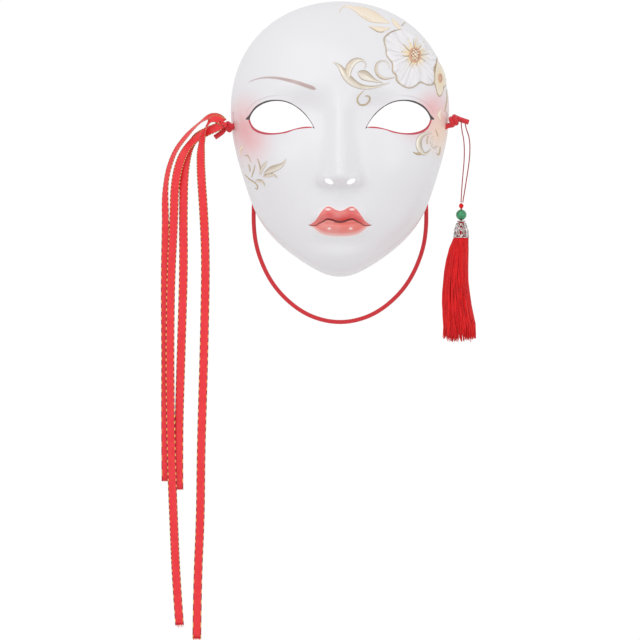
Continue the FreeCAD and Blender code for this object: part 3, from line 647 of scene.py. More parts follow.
face_swell("nose_tip_swell", (0.0, -38.4), (9.4, 10.4), 1.5)
face_swell("left_nose_wing", (-14.2, -43.2), (5.9, 7.6), 1.9)
face_swell("right_nose_wing", (14.2, -43.2), (5.9, 7.6), 1.9)

# ------------------------------------------------------------- gold relief
# Leaves and scrolls piped on in thick slip, then brushed with pearl gold, darker
# along their edges and painted lighter along one side as a painted highlight. The
# broad ones stand 0.6 to 0.9 millimetres proud, and the rim of each is sunk in the lacquer.

SLIP_SUNK = 0.12  # millimetres
VEIN_REACH = 0.07  # share of a leaf's width


def on_face(x, z, lift):
    """The spot a lift in front of the painted face, all in millimetres."""
    hit, normal, _, _ = face_tree.ray_cast(Vector((x * MM, IN_FRONT, z * MM)),
                                           Vector((0, 1, 0)))
    if hit is None or hit.y > 0.02 or normal.y > -0.05:
        hit, normal, _, _ = face_tree.find_nearest(Vector((x * MM, 0.012, z * MM)))
    return hit + normal * lift * MM


def pearl_gold_finish(name, light, mid, edge, metallic):
    """Pearly slip, painted lighter along one side of a stroke as a painted highlight, and darker
    along both its edges.
    """
    finish, tree, shader = finish_named(name, {
        "Metallic": metallic, "Coat Weight": 0.5, "Coat Roughness": 0.1})
    share_across, _ = chart_axes(tree)
    cloud = grain(tree, 160.0, 4.0)
    off = maths(tree, "ABSOLUTE", maths(tree, "SUBTRACT", share_across, 0.5))
    # Across the stroke the colour runs from the painted highlight to the mid colour, mottled by a
    # random cloud.
    painted_shade = maths(tree, "ADD", smooth_step(tree, share_across, 0.25, 0.85, 0.0, 0.55),
                  maths(tree, "MULTIPLY", cloud, 0.5))
    body = painted(tree, painted_shade, light, mid)
    tree.links.new(painted(tree, smooth_step(tree, off, 0.36, 0.49), body, edge),
                   shader.inputs["Base Color"])
    tree.links.new(smooth_step(tree, cloud, 0.3, 0.7, 0.24, 0.4), shader.inputs["Roughness"])
    raised(tree, shader, cloud, 0.25, 0.0002)
    return finish


pearl_gold = pearl_gold_finish("brushed_pearl_gold", tint(250, 244, 234), tint(190, 172, 146),
                               tint(142, 120, 90), 0.5)
pale_gold = pearl_gold_finish("pale_leaf_gold", tint(246, 236, 222), tint(242, 222, 192),
                              tint(208, 182, 146), 0.12)
line_gold = pearl_gold_finish("fine_line_gold", tint(216, 196, 164), tint(182, 158, 124),
                              tint(140, 116, 88), 0.4)


def piped_stroke(name, spots, lift, finish, vein=0.0, steps=10):
    """One stroke of slip: spots are across, width and up along its middle, in millimetres."""
    line = [(v.x / MM, v.y / MM, v.z / MM) for v in smooth_line(spots, steps)]
    last = len(line) - 1

    def place(u, v):
        number = min(last, round(v * last))
        x, width, z = line[number]
        ahead = line[min(number + 1, last)]
        back = line[max(number - 1, 0)]
        run = math.hypot(ahead[0] - back[0], ahead[2] - back[2]) or 1.0
        off = u - 0.5
        side_x = -(ahead[2] - back[2]) / run * width * off
        side_z = (ahead[0] - back[0]) / run * width * off
        crown = 1.0 - abs(2.0 * off) ** 2.6
        height = lift * crown * min(1.0, 0.35 + width / 3.0) - SLIP_SUNK * (1.0 - crown)
        height -= (vein * math.exp(-(off / VEIN_REACH) ** 2)
                   * min(1.0, 4.0 * v * (1.0 - v) + 0.2))
        return on_face(x + side_x, z + side_z, height)
    stroke = laid_grid(name, 12, last, place)
    stroke.data.materials.append(finish)
    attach(stroke, "mask")
    return stroke


RELIEFS = {
    "crown_leaf": [
        ("crown_leaf_blade", pale_gold, 0.75, 0.25, [
            (-0.4, 0.5, 91.0), (1.0, 0.8, 94.6), (5.5, 1.1, 96.2), (12, 3.6, 93.9), (19, 8.2, 90.8),
            (26, 9.0, 87.2), (33, 5.4, 84.6), (40.2, 0.4, 82.2)]),
        ("crown_leaf_vein", line_gold, 0.9, 0.0, [
            (13, 0.3, 93.2), (18.5, 0.7, 87.6), (24, 0.6, 84.4), (31.5, 0.3, 83.2)])],
    "crown_side_leaf": [
        ("crown_side_leaf_blade", pale_gold, 0.7, 0.2, [
            (22.6, 0.4, 79.6), (26.2, 1.8, 78.4), (31, 4.2, 77.0), (35.4, 3.4, 77.0),
            (40.4, 0.4, 78.2)]),
        ("crown_side_leaf_edge", line_gold, 0.85, 0.0, [
            (23.6, 0.5, 79.0), (28, 0.9, 76.4), (31, 0.8, 74.4), (35.2, 0.5, 75.0)])],
    "flower_bud": [
        ("flower_bud_blade", pale_gold, 0.7, 0.2, [
            (41.4, 0.6, 86.0), (43.0, 3.0, 83.6), (45.6, 4.4, 80.8), (48.8, 0.8, 76.8)]),
        ("flower_bud_stem", line_gold, 0.7, 0.0, [
            (49.4, 0.8, 80.2), (50.6, 1.0, 81.6), (52.6, 0.5, 83.4)])],
    "brow_scroll": [
        ("brow_scroll_body", pearl_gold, 0.85, 0.0, [
            (-5.4, 0.5, 50.2), (-1.2, 2.0, 48.6), (2.2, 4.6, 43.4), (6.0, 6.2, 37.6),
            (11.6, 5.0, 33.0), (18, 3.4, 30.4), (26, 2.2, 30.2), (33, 1.2, 32.0),
            (39.4, 0.4, 34.0)]),
        ("brow_scroll_prong", pearl_gold, 0.85, 0.0, [
            (6.6, 3.0, 38.4), (6.2, 5.2, 44.0), (9.2, 5.2, 49.8), (14, 3.4, 52.8),
            (18.6, 1.4, 51.8), (21.4, 0.7, 48.6), (19.4, 0.4, 45.2)])],
    "teardrop_leaf": [
        ("teardrop_leaf_blade", pearl_gold, 0.9, 0.0, [
            (14.6, 2.6, 42.0), (17.0, 6.8, 41.2), (20.6, 7.4, 39.4), (24.6, 4.6, 37.2),
            (29.0, 1.8, 35.2), (34.4, 0.4, 34.0)])],
    "brow_curl": [
        ("brow_curl_stroke", pearl_gold, 0.75, 0.0, [
            (43.4, 0.5, 38.6), (37.2, 1.8, 37.0), (31.2, 2.6, 38.8), (28.2, 2.4, 44.6),
            (29.8, 1.4, 50.6), (35.2, 1.0, 52.2), (39.4, 0.8, 49.2), (38.8, 0.4, 45.4)])],
    "root_curl": [
        ("root_curl_stroke", line_gold, 0.7, 0.0, [
            (19.3, 0.4, 27.8), (15.2, 0.9, 24.6), (13.2, 1.2, 20.2), (15.6, 1.2, 16.2),
            (20.4, 1.2, 16.2), (24.2, 1.2, 20.0), (23.2, 1.1, 24.2), (19.8, 0.6, 23.4)])],
    "temple_scroll": [
        ("temple_scroll_stroke", pearl_gold, 0.8, 0.0, [
            (73.2, 0.6, -5.8), (67.6, 2.2, -6.0), (63.2, 4.0, -10.0), (62.6, 4.6, -16.2),
            (64.8, 4.0, -21.2), (68.8, 1.8, -23.2), (72.2, 0.6, -18.8)]),
        ("temple_scroll_inner", line_gold, 0.7, 0.0, [
            (70.4, 0.7, -8.2), (69.2, 1.2, -11.2), (69.6, 0.6, -14.6)]),
        ("temple_scroll_tail", line_gold, 0.7, 0.0, [
            (64.4, 2.6, -22.0), (61.4, 1.6, -23.2), (58.4, 0.5, -21.2)])],
    "temple_curl": [
        ("temple_curl_hook", pearl_gold, 0.75, 0.0, [
            (74.2, 0.8, -9.0), (72.2, 1.4, -12.0), (73.6, 1.5, -16.4), (76.0, 1.1, -18.4),
            (77.8, 0.5, -16.0)]),
        ("temple_curl_leaf", pale_gold, 0.75, 0.0, [
            (80.9, 0.5, 13.2), (79.0, 1.8, 10.4), (79.4, 2.0, 7.2), (80.4, 0.5, 4.6)]),
        ("temple_curl_dash", line_gold, 0.6, 0.0, [
            (76.3, 0.5, -3.2), (77.6, 1.2, -5.6), (78.2, 0.5, -8.6)]),
        ("temple_curl_foot", line_gold, 0.7, 0.0, [
            (80.2, 0.6, -16.6), (79.9, 1.3, -20.6), (78.8, 1.0, -24.2), (77.2, 0.5, -21.8)])],
    "cheek_leaf": [
        ("cheek_leaf_blade", pearl_gold, 0.85, 0.3, [
            (-60.6, 1.2, -38.6), (-56.4, 4.4, -35.8), (-52.0, 4.9, -34.2), (-47.6, 3.6, -32.4),
            (-44.4, 1.4, -29.6), (-43.2, 0.4, -26.6)]),
        ("cheek_leaf_second", pearl_gold, 0.75, 0.0, [
            (-61.2, 0.8, -40.6), (-58.6, 2.8, -39.9), (-55.4, 3.2, -39.2), (-52.4, 1.6, -39.4),
            (-50.2, 0.5, -41.6)])],
    "cheek_sprig": [
        ("cheek_sprig_upright", pearl_gold, 0.8, 0.2, [
            (-64.0, 0.8, -39.0), (-62.4, 2.6, -34.4), (-60.4, 2.6, -31.4), (-58.4, 0.6, -28.4)]),
        ("cheek_sprig_low", pearl_gold, 0.75, 0.0, [
            (-67.4, 0.6, -43.6), (-64.2, 3.4, -44.2), (-61.0, 1.2, -45.0), (-60.0, 0.5, -48.4)]),
        ("cheek_sprig_dash", line_gold, 0.65, 0.0, [
            (-66.0, 0.5, -26.2), (-64.4, 1.0, -30.0), (-63.6, 0.9, -34.4), (-63.4, 0.5, -38.0)])],
    "cheek_fan": [
        ("cheek_fan_outer", pearl_gold, 0.75, 0.0, [
            (-73.2, 0.6, -30.6), (-72.2, 1.8, -33.6), (-72.0, 0.8, -36.4)]),
        ("cheek_fan_inner", pearl_gold, 0.75, 0.0, [
            (-68.0, 0.6, -31.6), (-69.0, 1.9, -35.6), (-70.8, 0.7, -40.8)]),
        ("cheek_fan_arc", line_gold, 0.6, 0.0, [
            (-76.0, 0.5, -24.0), (-74.4, 0.8, -22.8), (-72.4, 0.7, -25.6), (-71.0, 0.4, -29.4)]),
        ("cheek_fan_bud", pale_gold, 0.6, 0.0, [
            (-76.9, 0.6, -15.6), (-78.3, 2.2, -17.4), (-80.2, 1.2, -19.6), (-79.4, 0.5, -23.8)]),
        ("cheek_fan_stem", line_gold, 0.65, 0.0, [
            (-76.2, 0.4, -38.8), (-72.8, 0.9, -42.8), (-68.0, 1.0, -45.2), (-65.4, 0.9, -48.6),
            (-66.6, 0.8, -51.4), (-68.0, 0.4, -49.6)])],
}
SLIP_SPREAD = 1.18  # thick slip settles wider than the line that was drawn
for cad_name, strokes in RELIEFS.items():
    for stroke_name, finish, lift, vein, drawn in strokes:
        spots = [(x, width * SLIP_SPREAD, z) for x, width, z in drawn]
        stroke = piped_stroke(stroke_name, spots, lift, finish, vein)
        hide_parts(cad_name)

# ----------------------------------------------------------------- flowers
# Two open blossoms of slip, a large white one and a small cream one. Each is
# one sheet with puckered petals, a gold line along its edge, fine stamens and
# a rose ring at its heart, and the large one's ring is set with pearls.

VALLEY_REACH = 0.09  # radians; how wide the dips between petals are
CROWN_AT = 0.86  # share of the way out to the rim where petals stand highest
CROWN_REACH = 0.16
SHEET_EDGE = 0.985  # beyond this share the sheet turns down into the lacquer
PEARL_LIFT = 0.95


def petal_finish(name, body, painted_shade, wash, wash_reach):
    """Slip with faint pleats, painted darker in their hollows as painted shade, and a warm wash
    that spreads from the flower's heart.
    """
    finish, tree, shader = finish_named(name, {"Coat Weight": 0.5, "Coat Roughness": 0.2})
    around, outward = chart_axes(tree)
    fan = add_node(tree, "CombineXYZ", {"X": maths(tree, "MULTIPLY", around, 46.0),
                   "Y": maths(tree, "MULTIPLY", outward, 1.3)})
    pleats = add_node(tree, "TexNoise", {"Vector": fan.outputs[0], "Scale": 1.0,
                      "Detail": 2.0}).outputs[0]
    # The pleats' hollows take the darker colour: painted shade.
    slip = painted(tree, smooth_step(tree, pleats, 0.6, 0.34), body, painted_shade)
    warm = maths(tree, "MULTIPLY", smooth_step(tree, outward, wash_reach, 0.05),
                 smooth_step(tree, pleats, 0.2, 0.7, 0.55, 1.0))
    tree.links.new(painted(tree, warm, slip, wash), shader.inputs["Base Color"])
    raised(tree, shader, pleats, 0.4, 0.0004)
    tree.links.new(smooth_step(tree, pleats, 0.3, 0.7, 0.36, 0.26), shader.inputs["Roughness"])
    return finish


petal_white = petal_finish("white_petal_slip", tint(240, 238, 240), tint(222, 219, 222),
                           tint(248, 234, 206), 0.5)
petal_cream = petal_finish("cream_petal_slip", tint(240, 230, 212), tint(226, 210, 186),
                           tint(238, 216, 176), 0.8)

stamen_gold = pearl_gold_finish("stamen_gold", tint(250, 236, 200), tint(240, 216, 164),
                                tint(214, 182, 124), 0.15)
heart_clay = pearl_gold_finish("flower_heart_rose", tint(222, 178, 148), tint(196, 146, 120),
                               tint(150, 104, 82), 0.2)
pearl, tree, shader = finish_named("seed_pearl", {
    "Roughness": 0.18, "Coat Weight": 0.8, "Metallic": 0.25})
tree.links.new(painted(tree, grain(tree, 500.0), tint(226, 196, 160), tint(252, 240, 226)),
               shader.inputs["Base Color"])


def blossom_sheet(name, rim, heart, lift, valleys, pleat_count, finish):
    """A petalled sheet from its heart out to its rim, which is a closed line of places."""
    outline = [(v.x / MM, v.z / MM) for v in smooth_line([(x, 0, z) for x, z in rim + rim[:1]], 8)]
    last = len(outline) - 1

    def place(u, v):
        x, z = outline[min(last, round(u * last))]
        angle = math.atan2(z - heart[1], x - heart[0])
        valley = sum(math.exp(-(((angle - math.radians(turn) + math.pi) % (2 * math.pi) - math.pi)
                                / VALLEY_REACH) ** 2) for turn in valleys)
        crown = 0.34 + 0.66 * math.exp(-((v - CROWN_AT) / CROWN_REACH) ** 2)
        height = lift * crown * (1.0 - 0.75 * valley * min(1.0, 2.0 * v))
        height += 0.09 * math.sin(angle * pleat_count + 4.0 * v) * v
        if v > SHEET_EDGE:
            height = -0.15
        return on_face(heart[0] + (x - heart[0]) * v, heart[1] + (z - heart[1]) * v, height)
    sheet = laid_grid(name, last, 18, place)
    form = bmesh.new()
    form.from_mesh(sheet.data)
    bmesh.ops.remove_doubles(form, verts=form.verts, dist=2e-6)
    bmesh.ops.recalc_face_normals(form, faces=form.faces)
    form.to_mesh(sheet.data)
    form.free()
    sheet.data.materials.append(finish)
    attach(sheet, "mask")
    return sheet


def pearl_cluster(name, spots, radius):
    """Low beads set side by side; each spot is across and up, in millimetres."""
    form = bmesh.new()
    for x, z, share in spots:
        made = bmesh.ops.create_icosphere(form, subdivisions=2, radius=radius * share * MM)
        bmesh.ops.translate(form, verts=made["verts"], vec=on_face(x, z, PEARL_LIFT))
    cluster = finished_piece(name, form)
    cluster.data.materials.append(pearl)
    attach(cluster, "mask")


BIG_RIM = [(48.1, 77.4), (42.2, 76.0), (38.3, 73.0), (34.8, 69.9), (35.6, 66.0), (36.8, 61.6),
           (36.6, 57.0), (38.8, 53.4), (42.0, 50.0), (41.6, 45.4), (42.2, 42.2), (45.2, 40.4),
           (44.8, 36.2), (47.6, 33.4), (51.0, 31.0), (55.4, 29.6), (59.8, 31.2), (62.6, 33.8),
           (64.6, 35.4), (67.2, 33.6), (70.4, 32.6), (74.2, 32.8), (75.6, 35.6), (75.4, 41.0),
           (74.8, 45.8), (76.8, 49.2), (77.4, 54.0), (73.0, 60.0), (66.6, 67.4), (57.4, 74.4)]
BIG_HEART = (59.6, 56.4)
big_sheet = blossom_sheet("large_flower_petals", BIG_RIM, BIG_HEART, 0.9,
                          [232, 288, 330, 150, 88, 30], 26, petal_white)
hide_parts("large_flower")
BIG_RIM_LINE = [
    (48.6, 0.6, 77.0), (42.6, 0.9, 76.2), (38.2, 1.1, 73.2), (34.8, 1.2, 70.0), (35.4, 0.9, 66.0),
    (36.8, 0.8, 61.6), (36.6, 0.7, 57.0), (38.8, 0.8, 53.4), (42.0, 0.9, 50.0), (41.6, 0.9, 45.4),
    (42.2, 1.2, 42.2), (45.2, 1.3, 40.4), (44.8, 1.4, 36.2), (47.6, 1.0, 33.4), (51.0, 0.9, 31.0),
    (55.4, 0.8, 29.6), (59.8, 0.9, 31.2), (64.2, 1.1, 35.4), (67.2, 0.9, 33.6), (70.6, 0.9, 32.4),
    (74.4, 1.0, 32.8), (75.6, 1.0, 35.8), (75.4, 0.9, 41.0), (74.8, 1.1, 45.8), (76.8, 1.2, 49.2),
    (77.6, 0.6, 54.6)]
BIG_RIM_SHARE = 0.85  # the rim line is finer than it was drawn
piped_stroke("large_flower_rim_0",
             [(x, width * BIG_RIM_SHARE, z) for x, width, z in BIG_RIM_LINE], 1.15, line_gold)
for number, (turn, start, end) in enumerate(((232, 6, 19), (256, 8, 16), (288, 7, 17),
                                             (204, 7, 17), (330, 6, 13), (150, 7, 18))):
    heading = (math.cos(math.radians(turn)), math.sin(math.radians(turn)))
    spots = [(BIG_HEART[0] + heading[0] * reach, width, BIG_HEART[1] + heading[1] * reach)
             for reach, width in ((start, 0.5), ((start + end) / 2, 0.35), (end, 0.15))]
    piped_stroke("large_flower_crease_%d" % number, spots, 0.62, pale_gold)
STAMEN_COUNT = 30
anthers = []
for number in range(STAMEN_COUNT):
    turn = 2.0 * math.pi * (number + random.uniform(-0.25, 0.25)) / STAMEN_COUNT
    reach = random.uniform(9.5, 14.0) * (1.0 if math.sin(turn) > -0.2 else 0.72)
    bend = turn + random.uniform(-0.12, 0.12)
    tip = (BIG_HEART[0] + math.cos(bend) * reach * 0.9, BIG_HEART[1] + math.sin(bend) * reach)
    spots = [(BIG_HEART[0] + math.cos(turn) * 3.8, 1.5, BIG_HEART[1] + math.sin(turn) * 5.0),
             (BIG_HEART[0] + math.cos(turn) * reach * 0.66, 1.0,
              BIG_HEART[1] + math.sin(turn) * reach * 0.72), (tip[0], 0.6, tip[1])]
    piped_stroke("large_flower_stamen_%02d" % number, spots, 0.95,
                 line_gold if number % 4 == 0 else stamen_gold, steps=5)
    anthers.append((tip[0], tip[1], random.uniform(0.26, 0.42)))
pearl_cluster("large_flower_anthers", anthers, 1.15)
heart_ring = piped_stroke("large_flower_heart", [
    (BIG_HEART[0] + 4.0 * math.cos(math.radians(turn)), 2.6,
     BIG_HEART[1] + 5.3 * math.sin(math.radians(turn))) for turn in range(90, 481, 30)],
    1.35, heart_clay)
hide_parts("large_flower_centre")
pearl_cluster("large_flower_pearls", [
    (BIG_HEART[0] + reach * 0.8 * math.cos(math.radians(turn)),
     BIG_HEART[1] + reach * math.sin(math.radians(turn)), share)
    for turn, reach, share in ((0, 0, 1.25), (20, 2.5, 0.8), (80, 2.6, 0.9), (140, 2.4, 0.8),
                               (200, 2.5, 0.9), (260, 2.6, 0.85), (320, 2.4, 0.9), (50, 4.1, 0.6),
                               (110, 4.2, 0.7), (170, 3.8, 0.6), (230, 4.2, 0.6), (290, 4.2, 0.7))],
    1.15)

SMALL_RIM = [(78.0, 52.4), (80.6, 49.4), (82.6, 44.6), (84.4, 38.6), (84.6, 32.6), (82.6, 31.4),
             (81.8, 26.6), (79.6, 22.8), (77.2, 26.0), (76.6, 31.0), (74.8, 34.4), (75.4, 40.0),
             (76.0, 45.6), (76.8, 49.4)]
SMALL_HEART = (79.9, 38.2)
small_sheet = blossom_sheet("small_flower_petals", SMALL_RIM, SMALL_HEART, 0.85,
                            [95, 200, 290, 340], 18, petal_cream)
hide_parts("small_flower")
piped_stroke("small_flower_rim", [
    (77.2, 0.5, 50.4), (76.2, 0.7, 46.0), (75.6, 0.8, 40.0), (75.0, 0.9, 34.6), (77.0, 0.8, 30.6),
    (77.6, 0.8, 26.0), (79.6, 0.9, 22.8), (81.8, 0.8, 26.6), (82.6, 1.0, 31.0), (84.6, 0.8, 32.6),
    (84.4, 0.5, 38.0)], 1.05, line_gold)
for number in range(16):
    turn = 2.0 * math.pi * number / 16
    spots = [(SMALL_HEART[0] + math.cos(turn) * reach * 0.36, width,
              SMALL_HEART[1] + math.sin(turn) * reach) for reach, width in
             ((3.0, 0.7), (5.2, 0.5), (random.uniform(7.0, 9.0), 0.25))]
    piped_stroke("small_flower_stamen_%02d" % number, spots, 0.7, stamen_gold, steps=4)
small_heart = piped_stroke("small_flower_heart", [
    (SMALL_HEART[0] + 1.1 * math.cos(math.radians(turn)), 1.5,
     SMALL_HEART[1] + 3.2 * math.sin(math.radians(turn))) for turn in range(90, 481, 30)],
    1.2, heart_clay)
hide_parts("small_flower_centre")
piped_stroke("temple_edge_line", [
    (85.0, 0.5, 29.0), (85.9, 0.9, 22.0), (84.9, 1.2, 17.0), (83.9, 0.9, 11.4)], 0.7, line_gold)

# ------------------------------------------------------------- strap knots
# Each end of the elastic comes out through its slot, winds round itself in
# slanting turns, and leaves a short cut tail. Pulled tight, the turns bulge.

KNOT_LEAN = math.radians(33.0)  # both knots' turns slant the same way across the face
KNOT_TURNS = 1.6
KNOT_START = -1.2  # radians; where round the knot the first turn begins
KNOT_STEPS = 13
KNOT_LENGTH = 5.0
KNOT_RISE = 2.75
KNOT_DEPTH = 2.45
TIED_DIAMETER = 4.1  # the elastic is fatter where it isn't stretched


def tied_end(name, side, centre, lead, tail, cad_nodes):
    """One end of the elastic, from its slot through the knot's turns to its tail."""
    spots = list(lead)
    for step in range(KNOT_STEPS + 1):
        share = step / KNOT_STEPS
        turn = 2.0 * math.pi * KNOT_TURNS * share + KNOT_START
        out = side * (KNOT_LENGTH * share - KNOT_LENGTH / 2.0)
        rise = KNOT_RISE * math.sin(turn)
        spots.append((centre[0] + out * math.cos(KNOT_LEAN) - rise * math.sin(KNOT_LEAN),
                      centre[1] - KNOT_DEPTH * math.cos(turn),
                      centre[2] + out * math.sin(KNOT_LEAN) + rise * math.cos(KNOT_LEAN)))
    knot = round_cord(name, smooth_line(spots + tail, 8), TIED_DIAMETER * MM)
    knot.data.materials.append(elastic)
    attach(knot, "mask")
    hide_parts(*cad_nodes)


tied_end("left_tied_end", -1, (-89.4, 0.2, -0.8), [(-83.8, 0.0, 0.4), (-85.6, 0.0, 0.6)],
         [(-93.6, -1.2, -4.6), (-97.0, -1.0, -7.0), (-100.2, -0.8, -9.2)],
         ["left_strap_knot", "left_strap_tail"])
tied_end("right_tied_end", 1, (91.2, 0.2, 4.2), [(83.6, 0.0, -1.2), (86.0, 0.0, 0.4)],
         [(95.6, -0.6, 5.4), (99.0, -0.2, 4.2), (103.0, 0.0, 3.0)],
         ["right_strap_knot", "right_strap_tail"])

# ------------------------------------------------------------ ribbon hitch
# The four tails are caught under two crossed turns of the same satin,
# pulled tight against the front of the left knot.

def satin_turn(name, centre, radii, tilt, width):
    """A band of satin wrapped once round a small lump."""
    lean = Matrix.Rotation(math.radians(tilt), 3, "Y")

    def place(u, v):
        angle = 2.0 * math.pi * v
        off = u - 0.5
        bulge = 1.0 - 0.35 * (2.0 * off) ** 2
        spot = Vector((off * width, -radii[0] * bulge * math.cos(angle),
                       radii[1] * bulge * math.sin(angle)))
        return (Vector(centre) + lean @ spot) * MM
    band = laid_grid(name, 10, 28, place, closed=True, uv_size=(1.0, 18.0))
    band.data.materials.append(satin)
    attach(band, "hitch")
    return band


first_turn = satin_turn("ribbon_hitch_turn", (-92.1, -6.4, 1.2), (1.9, 2.0), 35, 2.4)
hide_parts("ribbon_hitch")
satin_turn("ribbon_hitch_crossing", (-92.4, -6.2, 1.2), (2.2, 2.3), -40, 2.8)

# --------------------------------------------------- tassel's cord and bead
# The doubled cord ends in a hard little knot, and goes on through a turned
# green stone bead into the cap.

TASSEL_ACROSS = 97.0  # how far out from the middle the tassel hangs, in millimetres

silk_floss, tree, shader = finish_named("silky_red_floss", {
    "Roughness": 0.6, "Specular IOR Level": 0.25, "Sheen Weight": 0.08})
place = add_node(tree, "TexCoord")
stretch = add_node(tree, "Mapping", {"Vector": place.outputs["Object"],
                   "Location": (-TASSEL_ACROSS * MM, 0.0, 0.0), "Scale": (1.0, 1.0, 0.03)})
streak = add_node(tree, "TexNoise", {"Vector": stretch.outputs[0], "Scale": 900.0, "Detail": 3.0})
tree.links.new(painted(tree, smooth_step(tree, streak.outputs[0], 0.3, 0.7),
                       tint(206, 6, 14), tint(240, 28, 30)), shader.inputs["Base Color"])
raised(tree, shader, streak.outputs[0], 0.5, 0.0003)


def thread_knot(name, centre, radius, thread, turns, body, cad_node):
    """Tight turns of thread in a slanting ball, as a stopper knot is."""
    spots = []
    steps = int(turns * 8)
    for step in range(steps + 1):
        share = step / steps
        swing = math.sin(math.pi * share)
        turn = 2.0 * math.pi * turns * share
        spots.append((centre[0] + (0.35 + radius * swing) * math.cos(turn),
                      centre[1] + (0.35 + radius * swing) * math.sin(turn),
                      centre[2] + (1.0 - 2.0 * share) * radius * 1.45
                      + 0.5 * math.sin(turn) * swing))
    knot = round_cord(name, smooth_line(spots, 6), thread * MM, 8)
    knot.data.materials.append(silk_floss)
    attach(knot, body)
    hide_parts(cad_node)


thread_knot("tassel_stopper_turns", (TASSEL_ACROSS, 0.0, -63.9), 1.15, 1.15, 4.5, "tassel",
            "tassel_stopper_knot")
core_line = smooth_line([(TASSEL_ACROSS, 0, -62.6), (TASSEL_ACROSS + 0.05, 0, -67),
                         (TASSEL_ACROSS, 0.05, -71.5), (TASSEL_ACROSS, 0, -76.2)])
core = round_cord("tassel_core_thread", core_line, 1.5 * MM, 10)
core.data.materials.append(twisted_thread)
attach(core, "tassel")
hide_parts("tassel_core_cord")

green_stone, tree, shader = finish_named("green_stone", {
    "Coat Weight": 1.0, "Coat Roughness": 0.03})
veins = grain(tree, 230.0, 5.0, 1.2)
tree.links.new(painted(tree, smooth_step(tree, veins, 0.3, 0.75), tint(0, 108, 62),
                       tint(18, 156, 96)), shader.inputs["Base Color"])
tree.links.new(smooth_step(tree, veins, 0.3, 0.7, 0.06, 0.16), shader.inputs["Roughness"])
for slot in nodes["green_bead"].material_slots:
    slot.material = green_stone

# ------------------------------------------------------------- tassel's cap
# A bell of silver filigree: two plain rims and a waist wire, joined by eight
# wire loops with a curl in each, and small balls soldered between them.

CAP_TOP_HEIGHT = -75.7
CAP_LENGTH = 13.7
CAP_RADII = (2.9, 5.9)
CAP_LOOPS = 8

antique_silver, tree, shader = finish_named("antique_silver", {"Metallic": 1.0})
tarnish = grain(tree, 420.0, 5.0)
tree.links.new(painted(tree, smooth_step(tree, tarnish, 0.66, 0.36), tint(244, 243, 241),
                       tint(150, 146, 142)), shader.inputs["Base Color"])
tree.links.new(smooth_step(tree, tarnish, 0.35, 0.65, 0.36, 0.2), shader.inputs["Roughness"])
raised(tree, shader, tarnish, 0.2, 0.0001)


def on_cap(turn, share):
    """A spot on the bell, which rounds out from its top rim to a straight foot."""
    radius = CAP_RADII[0] + (CAP_RADII[1] - CAP_RADII[0]) * math.sin(
        0.5 * math.pi * min(1.0, 1.15 * share))
    angle = math.radians(turn)
    return (TASSEL_ACROSS + radius * math.cos(angle), radius * math.sin(angle),
            CAP_TOP_HEIGHT - CAP_LENGTH * share)


def silver_wire(name, spots, diameter):
    wire = round_cord(name, smooth_line(spots, 5), diameter * MM, 7)
    wire.data.materials.append(antique_silver)
    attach(wire, "tassel")
    return wire


cap_rim = silver_wire("cap_foot_rim", [on_cap(15 * step, 0.97) for step in range(26)], 1.0)
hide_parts("filigree_cap")
silver_wire("cap_top_rim", [on_cap(20 * step, 0.03) for step in range(20)], 0.9)
silver_wire("cap_waist_wire", [on_cap(18 * step, 0.16) for step in range(22)], 0.5)
for number in range(CAP_LOOPS):
    middle = 360.0 * number / CAP_LOOPS
    silver_wire("cap_loop_%d" % number, [on_cap(middle + turn, share) for turn, share in (
        (0, 0.14), (-15, 0.3), (-21, 0.55), (-16, 0.8), (0, 0.95), (16, 0.8), (21, 0.55),
        (15, 0.3), (0, 0.14))], 0.85)
    silver_wire("cap_curl_%d" % number, [on_cap(middle + turn, share) for turn, share in (
        (0, 0.95), (4, 0.75), (9, 0.58), (5, 0.42), (-5, 0.42), (-8, 0.54), (-2, 0.62),
        (2, 0.54))], 0.7)
ball_form = bmesh.new()
for number in range(CAP_LOOPS):
    for turn, share, radius in ((22.5, 0.3, 0.55), (22.5, 0.84, 0.75), (0, 0.28, 0.45),
                                (22.5, 0.06, 0.5)):
        made = bmesh.ops.create_icosphere(ball_form, subdivisions=2, radius=radius * MM)
        bmesh.ops.translate(ball_form, verts=made["verts"],
                            vec=Vector(on_cap(360.0 * number / CAP_LOOPS + turn, share)) * MM)
cap_balls = finished_piece("cap_soldered_balls", ball_form)
cap_balls.data.materials.append(antique_silver)
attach(cap_balls, "tassel")

# ----------------------------------------------------------- tassel's skirt
# Several hundred silky threads folded over the core cord, hidden at the
# top by the cap, bound round just below it, and cut to an uneven length.

SKIRT_TOP = -89.0
SKIRT_LEAN = 3.8
THREADS = 330
THREAD_RADIUS = 0.46
THREAD_STEPS = 9
THREAD_LENGTHS = (78.0, 81.5)
OUTER_SHARE = 0.72  # of the threads, those that lie on the outside
GOLDEN_SHARE = 0.6180339  # of a turn between one thread and the next, for an even spread


def thread_bundle(name, paths, radius):
    """Many thin four-sided threads in one piece, each along its own path in metres."""
    form = bmesh.new()
    for path in paths:
        last = len(path) - 1
        sides = line_sides(path, (1.0, 0.2, 0.0))
        made = bmesh.ops.create_grid(form, x_segments=4, y_segments=last, size=0.5)
        for vert in made["verts"]:
            number = round((vert.co.y + 0.5) * last)
            angle = 2.0 * math.pi * (vert.co.x + 0.5)
            side, other = sides[number]
            taper = 0.45 if number == last else 1.0
            out = side * math.cos(angle) + other * math.sin(angle)
            vert.co = path[number] + out * radius * taper
        bmesh.ops.remove_doubles(form, verts=made["verts"], dist=1e-7)
    bmesh.ops.recalc_face_normals(form, faces=form.faces)
    return finished_piece(name, form)


